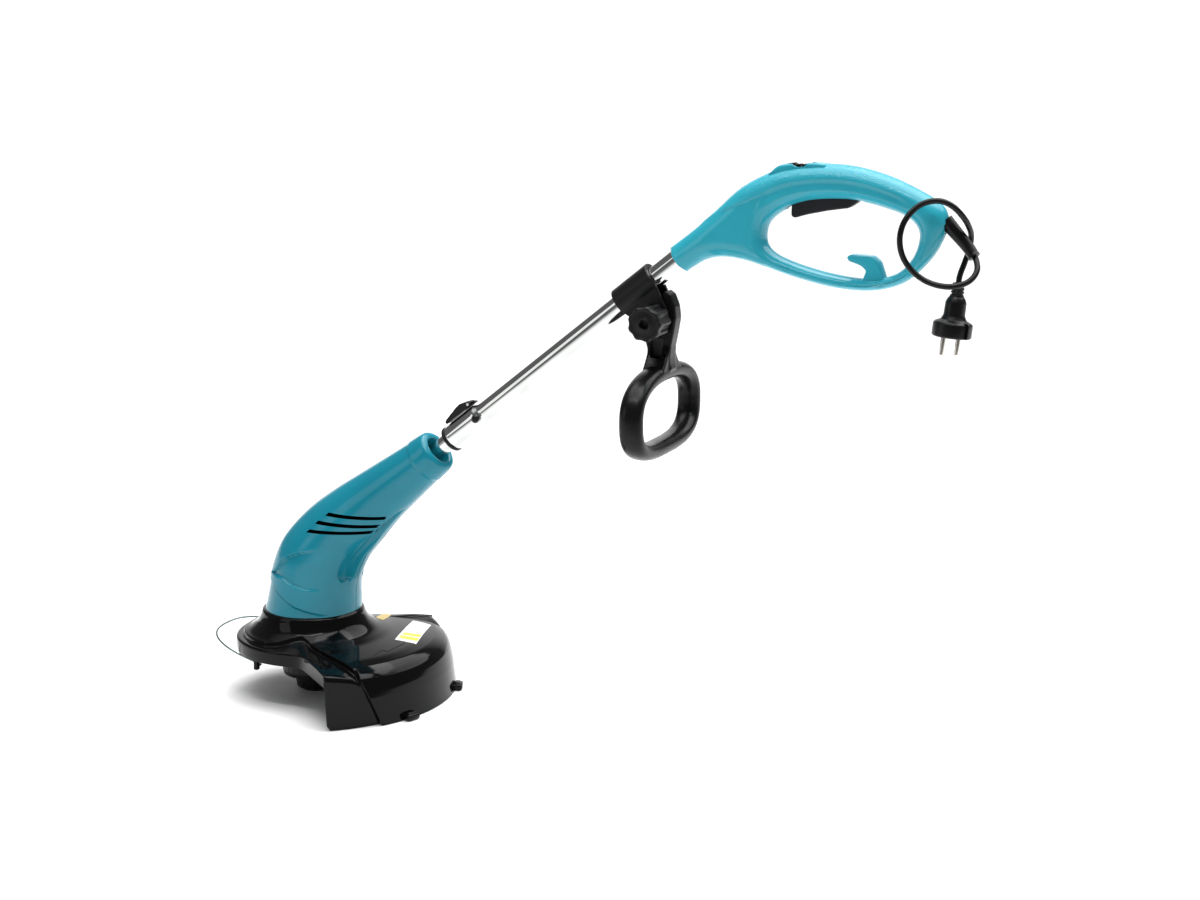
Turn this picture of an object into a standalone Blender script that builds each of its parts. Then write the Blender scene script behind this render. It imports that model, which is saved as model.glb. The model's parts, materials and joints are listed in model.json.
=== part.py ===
"""Corded string trimmer with a telescopic tube, a loop front handle and a closed rear handle.

+X runs from the cutting head towards the rear handle, +Z is up, and the operator's left is -Y.
The origin is on the spindle axis, on the ground that the guard stands on. All sizes are in metres.
"""

import math

import bmesh
import bpy
import numpy as np
from mathutils import Matrix, Vector
from mathutils.geometry import delaunay_2d_cdt

GAP = 0.0003

# Telescopic tube: a line in the XZ plane, measured by the distance s from the motor head's neck.
TUBE_ANGLE = math.radians(38.4)
NECK_X = 0.160
NECK_Z = 0.283
INNER_TUBE_R = 0.0092
OUTER_TUBE_R = 0.0110
OUTER_TUBE_BORE = 0.0098
SLEEVE_R = 0.01375
SLEEVE_START = 0.0205
SLEEVE_END = 0.0610
OUTER_TUBE_END = 0.372
LEVER_PIN_S = 0.060
LEVER_PIN_RISE = 0.0172

# Motor head and guard, on the spindle axis.
SHELL_BASE_Z = 0.0940
SHELL_WALL = 0.0026
COLLAR_R = 0.0555
RIM_R = 0.0850
RIM_TOP_Z = 0.0648
RIM_LOW_Z = 0.0495
SKIRT_R = 0.1560
SKIRT_ANGLE = 55.0
WING_ANGLE = 69.0
STEP_ANGLE = 41.0
GUARD_WALL = 0.0025
SHAFT_R = 0.0040

# Wire plant guard.
WIRE_R = 0.0011
WIRE_PIVOT_X = -0.0300
WIRE_PIVOT_Z = 0.0400
WIRE_HALF_WIDTH = 0.0620
WIRE_REACH = 0.0852
WIRE_TILT = math.radians(14)
WIRE_END_Y = 0.0735

# Front handle on its clamp bracket.
CLAMP_LOW_S = 0.264
CLAMP_HIGH_S = 0.310
CLAMP_R = 0.0165
BOLT_S = 0.2885
BOLT_DROP = 0.0353
CHEEK_IN = 0.0093
CHEEK_OUT = 0.0133
LOOP_X = 0.4090
LOOP_Z = 0.3440
LOOP_HALF_WIDTH = 0.0795
LOOP_HALF_HEIGHT = 0.0375

# Rear handle.
HANDLE_WALL = 0.0024
HANDLE_ROUND = 0.0165
TRIGGER_PIVOT = (0.6040, 0.5605)
EXIT_ROOT = (0.6840, 0.0, 0.5465)
EXIT_END = (0.7150, 0.0, 0.5128)
CORD_R = 0.00275

TUBE_DIR = Vector((math.cos(TUBE_ANGLE), 0, math.sin(TUBE_ANGLE)))
TUBE_UP = Vector((-math.sin(TUBE_ANGLE), 0, math.cos(TUBE_ANGLE)))
NECK = Vector((NECK_X, 0, NECK_Z))


def on_tube(s, rise=0.0, y=0.0):
    """A point at distance s along the tube, rise above its axis and y to the side."""
    return NECK + TUBE_DIR * s + TUBE_UP * rise + Vector((0, y, 0))


BOLT = on_tube(BOLT_S, -BOLT_DROP)

for old in list(bpy.data.objects):
    bpy.data.objects.remove(old, do_unlink=True)

part = bpy.data.collections.new("string_trimmer")
cutters = bpy.data.collections.new("cutters")
bpy.context.scene.collection.children.link(part)
bpy.context.scene.collection.children.link(cutters)
cutters.hide_render = True


def material(name, colour, roughness, metallic=0.0):
    made = bpy.data.materials.new(name)
    made.use_nodes = True
    shader = made.node_tree.nodes["Principled BSDF"]
    shader.inputs["Base Color"].default_value = (*colour, 1)
    shader.inputs["Roughness"].default_value = roughness
    shader.inputs["Metallic"].default_value = metallic
    return made


TEAL = material("teal_plastic", (0.012, 0.30, 0.38), 0.22)
BLACK_GLOSS = material("black_gloss", (0.012, 0.012, 0.013), 0.10)
BLACK_SATIN = material("black_satin", (0.018, 0.018, 0.019), 0.38)
BLACK_RUBBER = material("black_rubber", (0.02, 0.02, 0.021), 0.50)
CHROME = material("chrome_tube", (0.80, 0.81, 0.80), 0.06, 1.0)
STEEL = material("steel", (0.58, 0.58, 0.57), 0.28, 1.0)
COPPER = material("copper", (0.62, 0.26, 0.12), 0.35, 1.0)
BRASS = material("brass", (0.72, 0.55, 0.25), 0.30, 1.0)
CARBON = material("carbon", (0.03, 0.03, 0.03), 0.7)
NYLON = material("nylon_line", (0.75, 0.72, 0.55), 0.35)


# Making and placing ------------------------------------------------------------------------------


def place(obj, where=(0, 0, 0), turn=None):
    obj.matrix_world = Matrix.Translation(Vector(where)) @ (turn or Matrix.Identity(4))
    return obj


def finish(name, mesh, mat, helper=False):
    obj = bpy.data.objects.new(name, mesh)
    if helper:
        cutters.objects.link(obj)
        obj.hide_render = True
        obj.display_type = "WIRE"
    else:
        part.objects.link(obj)
        mesh.materials.append(mat)
    mesh.shade_smooth()
    mesh.set_sharp_from_angle(angle=math.radians(35))
    return obj


def from_data(name, points, faces, mat, helper=False):
    mesh = bpy.data.meshes.new(name)
    mesh.from_pydata([tuple(p) for p in points], [], faces)
    return finish(name, mesh, mat, helper)


def bake(obj, mat=None, helper=False):
    """Swaps an object for its evaluated mesh in world space, caps welded, faces outward."""
    bpy.context.view_layer.update()
    graph = bpy.context.evaluated_depsgraph_get()
    mesh = bpy.data.meshes.new_from_object(obj.evaluated_get(graph))
    mesh.transform(obj.matrix_world)
    name = obj.name
    mat = mat or (obj.data.materials[0] if obj.data.materials else None)
    bpy.data.objects.remove(obj, do_unlink=True)
    form = bmesh.new()
    form.from_mesh(mesh)
    bmesh.ops.remove_doubles(form, verts=form.verts, dist=1e-6)
    bmesh.ops.recalc_face_normals(form, faces=form.faces)
    form.to_mesh(mesh)
    form.free()
    mesh.materials.clear()
    return finish(name, mesh, mat, helper)


def combine(obj, other, operation):
    modifier = obj.modifiers.new(operation.lower(), "BOOLEAN")
    modifier.object = other
    modifier.operation = operation
    modifier.solver = "EXACT"
    return obj


def cut(obj, other):
    return combine(obj, other, "DIFFERENCE")


def join(obj, other):
    return combine(obj, other, "UNION")


def box(name, low, high, mat=None, bevel=0.0, helper=False, turn=None, centre=None):
    """A box between two corners; with turn and centre, the corners are in that turned frame."""
    low, high = Vector(low), Vector(high)
    form = bmesh.new()
    bmesh.ops.create_cube(form, size=1.0)
    bmesh.ops.scale(form, vec=high - low, verts=form.verts)
    bmesh.ops.translate(form, vec=(high + low) / 2, verts=form.verts)
    if bevel:
        bmesh.ops.bevel(form, geom=form.edges, offset=bevel, segments=2, affect="EDGES", profile=0.5)
    mesh = bpy.data.meshes.new(name)
    form.to_mesh(mesh)
    form.free()
    obj = finish(name, mesh, mat, helper)
    return place(obj, centre or (0, 0, 0), turn)


def turned(name, profile, mat=None, steps=28, where=(0, 0, 0), turn=None, helper=False):
    """A turned solid from (radius, height) points down its outer side and, for a ring, up its inner side."""
    ring = min(r for r, _ in profile) > 1e-6
    mesh = bpy.data.meshes.new(name)
    count = len(profile)
    edges = [(i, i + 1) for i in range(count - 1)]
    if ring:
        edges.append((count - 1, 0))
    mesh.from_pydata([(r, 0, z) for r, z in profile], edges, [])
    obj = bpy.data.objects.new(name, mesh)
    (cutters if helper else part).objects.link(obj)
    screw = obj.modifiers.new("turn", "SCREW")
    screw.steps = steps
    screw.render_steps = steps
    screw.use_merge_vertices = True
    screw.merge_threshold = 0.00002
    place(obj, where, turn)
    return bake(obj, mat, helper)


AXIS_Y = Matrix.Rotation(math.radians(-90), 4, "X")
ALONG_TUBE = Matrix.Rotation(math.radians(90) - TUBE_ANGLE, 4, "Y")


def aim(direction):
    return Vector(direction).to_track_quat("Z", "Y").to_matrix().to_4x4()


def curved(points, closed=False, per_span=6):
    """Points of a smooth curve through the given points."""
    points = [Vector(p) for p in points]
    count = len(points)
    if closed:
        padded = [points[-1], *points, points[0], points[1]]
        spans = count
    else:
        padded = [2 * points[0] - points[1], *points, 2 * points[-1] - points[-2]]
        spans = count - 1
    found = []
    for i in range(spans):
        a, b, c, d = padded[i : i + 4]
        for k in range(per_span):
            t = k / per_span
            found.append(
                0.5 * (2 * b + (c - a) * t + (2 * a - 5 * b + 4 * c - d) * t * t
                       + (3 * b - a - 3 * c + d) * t**3)
            )
    if not closed:
        found.append(points[-1])
    return found


def tube(name, points, radius, mat=None, resolution=2, helper=False):
    """A round wire or tube of even thickness through the points, with closed ends."""
    curve = bpy.data.curves.new(name, "CURVE")
    curve.dimensions = "3D"
    curve.bevel_depth = radius
    curve.bevel_resolution = resolution
    curve.use_fill_caps = True
    spline = curve.splines.new("POLY")
    spline.points.add(len(points) - 1)
    for point, where in zip(spline.points, points):
        point.co = (*where, 1)
    obj = bpy.data.objects.new(name, curve)
    (cutters if helper else part).objects.link(obj)
    return bake(obj, mat, helper)


def plate(name, outline, thickness, mat=None, helper=False, holes=(), where=(0, 0, 0), turn=None):
    """A flat piece: an outline in its own XY plane, thickened evenly along its own Z."""
    curve = bpy.data.curves.new(name, "CURVE")
    curve.dimensions = "2D"
    curve.fill_mode = "BOTH"
    curve.extrude = thickness / 2
    for loop in (outline, *holes):
        spline = curve.splines.new("POLY")
        spline.points.add(len(loop) - 1)
        for point, (x, y) in zip(spline.points, loop):
            point.co = (x, y, 0, 1)
        spline.use_cyclic_u = True
    obj = bpy.data.objects.new(name, curve)
    (cutters if helper else part).objects.link(obj)
    place(obj, where, turn)
    return bake(obj, mat, helper)


SIDE_PLANE = Matrix.Rotation(math.radians(90), 4, "X")
TUBE_SIDE = Matrix.Translation(NECK) @ Matrix.Rotation(-TUBE_ANGLE, 4, "Y") @ SIDE_PLANE


def arc(centre, radius, start, end, steps=8):
    """Points of an arc in a plane, between two angles in degrees."""
    found = []
    for i in range(steps + 1):
        angle = math.radians(start + (end - start) * i / steps)
        found.append((centre[0] + radius * math.cos(angle), centre[1] + radius * math.sin(angle)))
    return found


def grid_faces(rows, columns, closed_columns=False):
    faces = []
    last = columns if closed_columns else columns - 1
    for i in range(rows - 1):
        for j in range(last):
            k = (j + 1) % columns
            faces.append((i * columns + j, i * columns + k, (i + 1) * columns + k, (i + 1) * columns + j))
    return faces


def shell(obj, wall):
    """Thickens an open surface inward."""
    solid = obj.modifiers.new("wall", "SOLIDIFY")
    solid.thickness = wall
    solid.offset = -1
    solid.use_even_offset = True
    return obj


seam_cutters = {
    -1: box("right_of_seam", (-0.2, -GAP / 2, -0.1), (0.9, 0.3, 0.8), helper=True),
    1: box("left_of_seam", (-0.2, -0.3, -0.1), (0.9, GAP / 2, 0.8), helper=True),
}


def split_off(obj, side):
    """Trims a half shell flat at the seam between the two halves."""
    return cut(obj, seam_cutters[side])


# Motor head --------------------------------------------------------------------------------------

# Rings of the head shell: centre x, centre z, half width in the side view, tilt of the ring.
HEAD_RINGS = (
    (0.0000, 0.0940, 0.0545, 0),
    (0.0020, 0.1060, 0.0530, 2),
    (0.0040, 0.1200, 0.0515, 5),
    (0.0080, 0.1370, 0.0500, 13),
    (0.0170, 0.1560, 0.0478, 27),
    (0.0380, 0.1820, 0.0425, 41),
    (0.0630, 0.2045, 0.0380, 48),
    (0.0900, 0.2275, 0.0325, 51.6),
    (0.1240, 0.2545, 0.0277, 51.6),
    (0.1520, 0.2767, 0.0243, 51.6),
)
# The neck's lip and recess: distance along the tube from the last ring, radius.
HEAD_LIP = ((0.0055, 0.0226), (0.0085, 0.0208), (0.0095, 0.0190), (0.0080, 0.0172), (-0.0030, 0.0160))
# The hollow's end, the same way, and how far the hollow runs past the shell's foot.
HOLLOW_END = (-0.0060, 0.0210)
HOLLOW_FOOT = 0.0100


def ring_along(along, radius):
    """A ring square to the tube, measured from the last ring of the head."""
    x, z, _, tilt = HEAD_RINGS[-1]
    angle = math.radians(tilt)
    return x + along * math.sin(angle), z + along * math.cos(angle), radius, tilt


def loft(name, rings, helper, columns=28):
    """A closed solid through rings that tilt about Y."""
    points = []
    for x, z, radius, tilt in rings:
        lean = math.radians(tilt)
        for j in range(columns):
            angle = 2 * math.pi * (j + 0.5) / columns
            across = radius * math.cos(angle)
            points.append((x + across * math.cos(lean), radius * math.sin(angle),
                           z - across * math.sin(lean)))
    faces = grid_faces(len(rings), columns, True)
    faces += [tuple(range(columns))[::-1], tuple(range(len(points) - columns, len(points)))]
    return from_data(name, points, faces, TEAL, helper)


def head_half(name, side):
    """One clam shell of the motor head: side is -1 for the left half and 1 for the right half."""
    half = loft(name, [*HEAD_RINGS, *(ring_along(*step) for step in HEAD_LIP)], False)
    inner = [(x, z, radius - SHELL_WALL, tilt) for x, z, radius, tilt in HEAD_RINGS[:-1]]
    foot = (inner[0][0], inner[0][1] - HOLLOW_FOOT, inner[0][2], inner[0][3])
    hollow = loft(f"{name}_hollow", [foot, *inner, ring_along(*HOLLOW_END)], True)
    cut(half, hollow)
    return split_off(half, side)


VENTS = ((0.0462, 0.1155, 0.2125), (0.0356, 0.1068, 0.2028), (0.0222, 0.0985, 0.1928))
vent_form = bmesh.new()
for low_x, high_x, z in VENTS:
    size = Matrix.Diagonal((high_x - low_x, 0.16, 0.0034, 1))
    bmesh.ops.create_cube(vent_form, size=1.0, matrix=Matrix.Translation(((low_x + high_x) / 2, 0, z)) @ size)
vent_mesh = bpy.data.meshes.new("vents")
vent_form.to_mesh(vent_mesh)
vent_form.free()
vents = finish("vents", vent_mesh, None, helper=True)

head_left = head_half("head_shell_left", -1)
head_right = head_half("head_shell_right", 1)
tube_hole = turned("tube_hole",
                   [(0, 0.0100), (INNER_TUBE_R + 0.0004, 0.0100), (INNER_TUBE_R + 0.0004, -0.0400),
                                 (0, -0.0400)], where=NECK, turn=ALONG_TUBE, helper=True)
for half in (head_left, head_right):
    cut(half, vents)
    cut(half, tube_hole)


# Guard -------------------------------------------------------------------------------------------

# The dome's section behind the spindle: radius and height from the collar to the skirt's foot.
DOME = ((0.0300, 0.0937), (0.0539, 0.0937), (0.0555, 0.0922), (0.0568, 0.0870), (0.0610, 0.0785),
        (0.0700, 0.0715), (0.0860, 0.0675), (0.1040, 0.0653), (0.1210, 0.0632), (0.1340, 0.0603),
        (0.1435, 0.0550), (0.1495, 0.0460), (0.1530, 0.0300), (SKIRT_R, 0.00025))
LEDGE_DROP = 0.0050
FACET_IN = 0.0070
BEAD_LEAN = 8.0


def dome_height(radius):
    return float(np.interp(radius, [r for r, _ in DOME], [z for _, z in DOME]))


def step_radius(angle):
    """Where the dome steps down to the ledge, angle in degrees from straight back."""
    if angle > WING_ANGLE:
        front = min(1.0, (angle - WING_ANGLE) / 34.0)
        return 0.0613 + (0.0770 - 0.0613) * front
    radians = math.radians(angle)
    return 0.0447 / (0.926 * math.sin(radians) - 0.379 * math.cos(radians))


def edge_radius(angle):
    """The guard's outer edge in plan."""
    if angle >= WING_ANGLE:
        return RIM_R
    if angle > SKIRT_ANGLE:
        near, far = Vector((0.0305, 0.0793)), Vector((0.0855, 0.1225))
        ray = Vector((math.cos(math.radians(angle)), math.sin(math.radians(angle))))
        edge = far - near
        return (near.x * edge.y - near.y * edge.x) / (ray.x * edge.y - ray.y * edge.x)
    return SKIRT_R - FACET_IN


def guard_section(angle):
    if angle < STEP_ANGLE:
        return [(r, z) for r, z in DOME]
    step = step_radius(angle)
    edge = edge_radius(angle)
    deck = dome_height(step)
    section = list(DOME[:3])
    section.append((0.0568 + 0.1 * (step - 0.061), 0.0870))
    section.append((0.0568 + 0.4 * (step - 0.0568), deck + (0.0870 - deck) * 0.35))
    section.append((step, deck))
    ledge = deck - LEDGE_DROP
    section.append((step + 0.0012, ledge))
    if angle > SKIRT_ANGLE:
        low = RIM_LOW_Z - 0.003 * min(1.0, max(0.0, (WING_ANGLE - angle) / (WING_ANGLE - SKIRT_ANGLE)))
        brink = min(ledge, RIM_TOP_Z) - 0.004 * (edge - RIM_R) / 0.06
        section.append(((step + edge) / 2, (ledge + brink) / 2))
        section.append((edge - 0.0024, brink))
        section.append((edge - 0.0006, brink - 0.0007))
        section.append((edge, brink - 0.0026))
        section.append((edge, low + (brink - low) * 0.55))
        section.append((edge, low + (brink - low) * 0.25))
        section.append((edge - 0.0004, low))
        return section
    foot = 0.00025 if angle < SKIRT_ANGLE - 1.0 else 0.0045
    brink = ledge - 0.0035
    reach = min(step + 0.0012, edge - 0.012)
    section[6] = (reach, ledge)
    section[5] = (min(step, reach - 0.0010), deck)
    section.append(((reach + edge - 0.0080) / 2, (ledge + brink) / 2))
    section.append((edge - 0.0080, brink))
    section.append((edge - 0.0040, brink - 0.0018))
    section.append((edge - 0.0022, brink - 0.0060))
    section.append((edge - 0.0015, 0.0340))
    section.append((edge - 0.0008, 0.0180))
    section.append((edge, foot))
    return section


def guard_angles():
    half = [0, 6, 12, 18, 24, 30, 35, 40.4, 41.0, 45, 49, 52.5, 54.6, 55.4, 58, 62, 66, 69, 74, 82, 92, 103,
            115, 127, 139, 151, 163, 172]
    return [-a for a in half[:0:-1]] + half + [180]


def bead_shift(angle, row):
    """The step between the dome and the facet leans back as it runs down the skirt."""
    window = max(0.0, 1.0 - abs(abs(angle) - STEP_ANGLE) / 13.5)
    lean = BEAD_LEAN * max(0, row - 9) / 4
    return -math.copysign(lean * window, angle)


def build_guard():
    angles = guard_angles()
    points = []
    rows = len(DOME)
    for row in range(rows):
        for angle in angles:
            radius, z = guard_section(abs(angle))[row]
            turn = math.radians(angle + bead_shift(angle, row))
            points.append((radius * math.cos(turn), radius * math.sin(turn), z))
    faces = [face[::-1] for face in grid_faces(rows, len(angles), True)]
    return shell(from_data("guard", points, faces, BLACK_GLOSS), GUARD_WALL)


guard = build_guard()
for index, angle in enumerate((-20, 20)):
    pad = box(f"guard_tab_{index}", (0.1530, -0.0085, 0.0), (0.1640, 0.0085, 0.0075), helper=True,
              bevel=0.0015, turn=Matrix.Rotation(math.radians(angle), 4, "Z"))
    join(guard, pad)

# Wire guard: a hoop of spring wire that folds up, its ends held in two clips under the rim.
def wire_point(along, y):
    """A point in the hoop's tilted plane, along being the distance in front of its pivot."""
    return WIRE_PIVOT_X - along * math.cos(WIRE_TILT), y, WIRE_PIVOT_Z + along * math.sin(WIRE_TILT)


wire_route = [wire_point(0, -WIRE_END_Y), wire_point(0, -WIRE_HALF_WIDTH - 0.0020)]
for i in range(31):
    angle = math.radians(-90 + 180 * i / 30)
    along = WIRE_REACH * math.cos(angle) ** 0.8
    wire_route.append(wire_point(along, WIRE_HALF_WIDTH * math.copysign(abs(math.sin(angle)) ** 0.8, angle)))
wire_route += [wire_point(0, WIRE_HALF_WIDTH + 0.0020), wire_point(0, WIRE_END_Y)]
tube("wire_guard", wire_route, WIRE_R, STEEL)
for side, label in ((-1, "left"), (1, "right")):
    clip = box(f"wire_clip_{label}", (WIRE_PIVOT_X - 0.0040, side * 0.0710 - 0.0030, 0.0365),
               (WIRE_PIVOT_X + 0.0040, side * 0.0710 + 0.0030, 0.0612), BLACK_SATIN, bevel=0.0008)
    hole = turned(f"wire_clip_hole_{label}", [(0, 0.006), (0.0016, 0.006), (0.0016, -0.006), (0, -0.006)],
                  steps=12, where=(WIRE_PIVOT_X, side * 0.0710, WIRE_PIVOT_Z), turn=AXIS_Y, helper=True)
    cut(clip, hole)

# Line cutting blade inside the skirt, at the operator's right.
BLADE_TURN = Matrix.Rotation(math.radians(47), 4, "Z")
box("line_blade", (0.1432, -0.0100, 0.0130), (0.1446, 0.0100, 0.0300), STEEL, turn=BLADE_TURN)
turned("blade_screw", [(0, 0.0030), (0.0038, 0.0030), (0.0038, 0.0003), (0, 0.0003)], STEEL, steps=12,
       where=BLADE_TURN @ Vector((0.1432, -0.0030, 0.0215)),
       turn=BLADE_TURN @ Matrix.Rotation(math.radians(-90), 4, "Y"))

# Motor -------------------------------------------------------------------------------------------

STATOR_LOW, STATOR_HIGH = 0.1130, 0.1470
stator = turned("stator_core", [(0.0350, STATOR_HIGH), (0.0350, STATOR_LOW), (0.0200, STATOR_LOW),
                                (0.0200, STATOR_HIGH)], STEEL)
for side, label in ((-1, "left"), (1, "right")):
    slot = box(f"coil_slot_{label}", (-0.0170, side * 0.0245 - 0.0050, STATOR_LOW - 0.01),
               (0.0170, side * 0.0245 + 0.0050, STATOR_HIGH + 0.01), helper=True)
    cut(stator, slot)
    box(f"field_coil_{label}", (-0.0166, side * 0.0245 - 0.0046, STATOR_LOW - 0.0030),
               (0.0166, side * 0.0245 + 0.0046, STATOR_HIGH + 0.0030), COPPER, bevel=0.0018)
turned("armature_core", [(0.0185, 0.1460), (0.0185, 0.1140), (0.0043, 0.1140), (0.0043, 0.1460)], STEEL)
turned("commutator", [(0.0105, 0.1600), (0.0105, 0.1500), (0.0043, 0.1500), (0.0043, 0.1600)], BRASS,
       steps=24)
turned("upper_bearing", [(0.0095, 0.1690), (0.0095, 0.1630), (0.0044, 0.1630), (0.0044, 0.1690)], STEEL)
turned("lower_bearing", [(0.0100, 0.0710), (0.0100, 0.0640), (0.0044, 0.0640), (0.0044, 0.0710)], STEEL)
turned("bearing_housing", [(0.0440, 0.0958), (0.0440, 0.0940), (0.0150, 0.0940), (0.0150, 0.0625),
                           (0.0080, 0.0625), (0.0080, 0.0637), (0.0104, 0.0637), (0.0104, 0.0958)],
       BLACK_SATIN)
turned("motor_shaft", [(0, 0.1700), (SHAFT_R, 0.1700), (SHAFT_R, 0.0240), (0, 0.0240)], STEEL, steps=20)
fan = turned("cooling_fan", [(0.0100, 0.1070), (0.0100, 0.1015), (0.0290, 0.1015), (0.0290, 0.1002),
                             (0.0043, 0.1002), (0.0043, 0.1070)], BLACK_SATIN)
for i in range(8):
    blade = box(f"fan_blade_{i}", (0.0095, -0.0008, 0.1010), (0.0285, 0.0008, 0.1052), helper=True,
                turn=Matrix.Rotation(math.radians(45 * i), 4, "Z"))
    join(fan, blade)
for side, label in ((-1, "left"), (1, "right")):
    holder = box(f"brush_holder_{label}", (-0.0048, side * 0.0210 - 0.0080, 0.1510),
                 (0.0048, side * 0.0210 + 0.0080, 0.1595), BLACK_SATIN)
    well = box(f"brush_well_{label}", (-0.0033, side * 0.0210 - 0.0100, 0.1525),
               (0.0033, side * 0.0210 + 0.0100, 0.1580), helper=True)
    cut(holder, well)
    box(f"carbon_brush_{label}", (-0.0030, side * 0.0170 - 0.0055, 0.1528),
        (0.0030, side * 0.0170 + 0.0055, 0.1577), CARBON)

# Cutting head: everything below the guard that spins with the shaft.
housing = turned("spool_housing", [(0.0110, 0.0565), (0.0120, 0.0540), (0.0280, 0.0525), (0.0340, 0.0490),
                                   (0.0358, 0.0340), (0.0358, 0.0235), (0.0345, 0.0190), (0.0240, 0.0180),
                                   (0.0240, 0.0202), (0.0325, 0.0212), (0.0332, 0.0470), (0.0260, 0.0500),
                                   (0.0043, 0.0505), (0.0043, 0.0565)], BLACK_SATIN)
for side, label in ((-1, "a"), (1, "b")):
    eyelet_hole = turned(f"eyelet_hole_{label}", [(0, 0.01), (0.0030, 0.01), (0.0030, -0.01), (0, -0.01)],
                         steps=12, where=(side * 0.0345, 0, 0.0330),
                         turn=Matrix.Rotation(math.radians(90), 4, "Y"),
                         helper=True)
    cut(housing, eyelet_hole)
    turned(f"line_eyelet_{label}", [(0.0027, 0.0036), (0.0027, -0.0020), (0.0014, -0.0020), (0.0014, 0.0036)],
           STEEL, steps=12, where=(side * 0.0345, 0, 0.0330),
           turn=Matrix.Rotation(math.radians(side * 90), 4, "Y"))
    tube(f"line_tail_{label}",
         [(side * 0.0312, 0, 0.0330), (side * 0.0550, 0, 0.0328), (side * 0.0780, 0, 0.0322)],
         0.0009, NYLON)
turned("line_spool",
       [(0.0305, 0.0460), (0.0305, 0.0440), (0.0160, 0.0440), (0.0160, 0.0255), (0.0305, 0.0255),
                      (0.0305, 0.0235), (0.0120, 0.0235), (0.0120, 0.0460)], BLACK_SATIN)
turned("wound_line",
       [(0.0265, 0.0435), (0.0270, 0.0400), (0.0264, 0.0350), (0.0270, 0.0300), (0.0265, 0.0260),
                      (0.0164, 0.0260), (0.0164, 0.0435)], NYLON)
turned("bump_knob", [(0, 0.0060), (0.0070, 0.0070), (0.0080, 0.0205), (0.0110, 0.0205), (0.0110, 0.0185),
                     (0.0205, 0.0165), (0.0222, 0.0130), (0.0205, 0.0030), (0.0160, 0.0), (0, 0.0)],
       BLACK_SATIN)
spring_turns = 4
spring_points = []
for i in range(spring_turns * 8 + 1):
    angle = 2 * math.pi * i / 8
    spring_points.append((0.0060 * math.cos(angle), 0.0060 * math.sin(angle),
                          0.0082 + 0.0145 * i / (spring_turns * 8)))
tube("bump_spring", spring_points, 0.0006, STEEL, resolution=1)

# Telescopic tube ---------------------------------------------------------------------------------

turned("inner_tube", [(INNER_TUBE_R, 0.3000), (INNER_TUBE_R, -0.0620), (INNER_TUBE_R - 0.0012, -0.0620),
                      (INNER_TUBE_R - 0.0012, 0.3000)], CHROME, steps=32, where=NECK, turn=ALONG_TUBE)
outer = turned("outer_tube", [(OUTER_TUBE_R, OUTER_TUBE_END), (OUTER_TUBE_R, SLEEVE_END + 0.0060),
                              (SLEEVE_R, SLEEVE_END), (SLEEVE_R, SLEEVE_START), (0.0124, SLEEVE_START),
                              (0.0124, SLEEVE_END - 0.0010), (OUTER_TUBE_BORE, SLEEVE_END + 0.0050),
                              (OUTER_TUBE_BORE, OUTER_TUBE_END)], CHROME, steps=32, where=NECK,
               turn=ALONG_TUBE)
turned("tube_bush", [(0.0121, 0.0420), (0.0121, 0.0202), (0.0142, 0.0202), (0.0142, 0.0166), (0.0098, 0.0166),
                     (0.0098, 0.0420)], BLACK_SATIN, steps=32, where=NECK, turn=ALONG_TUBE)
turned("tube_stop_screw", [(0, 0.0045), (0.0030, 0.0040), (0.0042, 0.0025), (0.0042, 0.0003), (0, 0.0003)],
       BLACK_SATIN, steps=12, where=on_tube(0.0625, -0.0010, -SLEEVE_R),
       turn=Matrix.Rotation(math.radians(90), 4, "X"))

lever_mount = plate("lever_mount", [(0.0530, 0.0141), (0.0685, 0.0141), (0.0670, 0.0165),
                                    *arc((LEVER_PIN_S, LEVER_PIN_RISE), 0.0030, 10, 170, 6),
                                    (0.0545, 0.0165)],
                    0.0048, BLACK_SATIN, turn=TUBE_SIDE)
mount_hole = turned("lever_mount_hole", [(0, 0.01), (0.0019, 0.01), (0.0019, -0.01), (0, -0.01)], steps=12,
                    where=on_tube(LEVER_PIN_S, LEVER_PIN_RISE), turn=AXIS_Y, helper=True)
cut(lever_mount, mount_hole)
turned("lever_pin", [(0, 0.0064), (0.0015, 0.0064), (0.0015, -0.0064), (0, -0.0064)], STEEL, steps=12,
       where=on_tube(LEVER_PIN_S, LEVER_PIN_RISE), turn=AXIS_Y)
lever = plate("lock_lever", [(0.0270, 0.0146), (0.0560, 0.0146),
                             *arc((LEVER_PIN_S, LEVER_PIN_RISE), 0.0029, -80, 80, 6), (0.0570, 0.0215),
                             (0.0525, 0.0228), (0.0470, 0.0222), (0.0285, 0.0183), (0.0268, 0.0165)],
              0.0136, BLACK_SATIN, turn=TUBE_SIDE)
lever_slot = box("lever_slot", (0.0515, 0.0100, -0.0028), (0.0730, 0.0300, 0.0028), helper=True,
                 turn=TUBE_SIDE)
cut(lever, lever_slot)
cut(lever, mount_hole)

# Front handle and its clamp ----------------------------------------------------------------------


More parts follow.
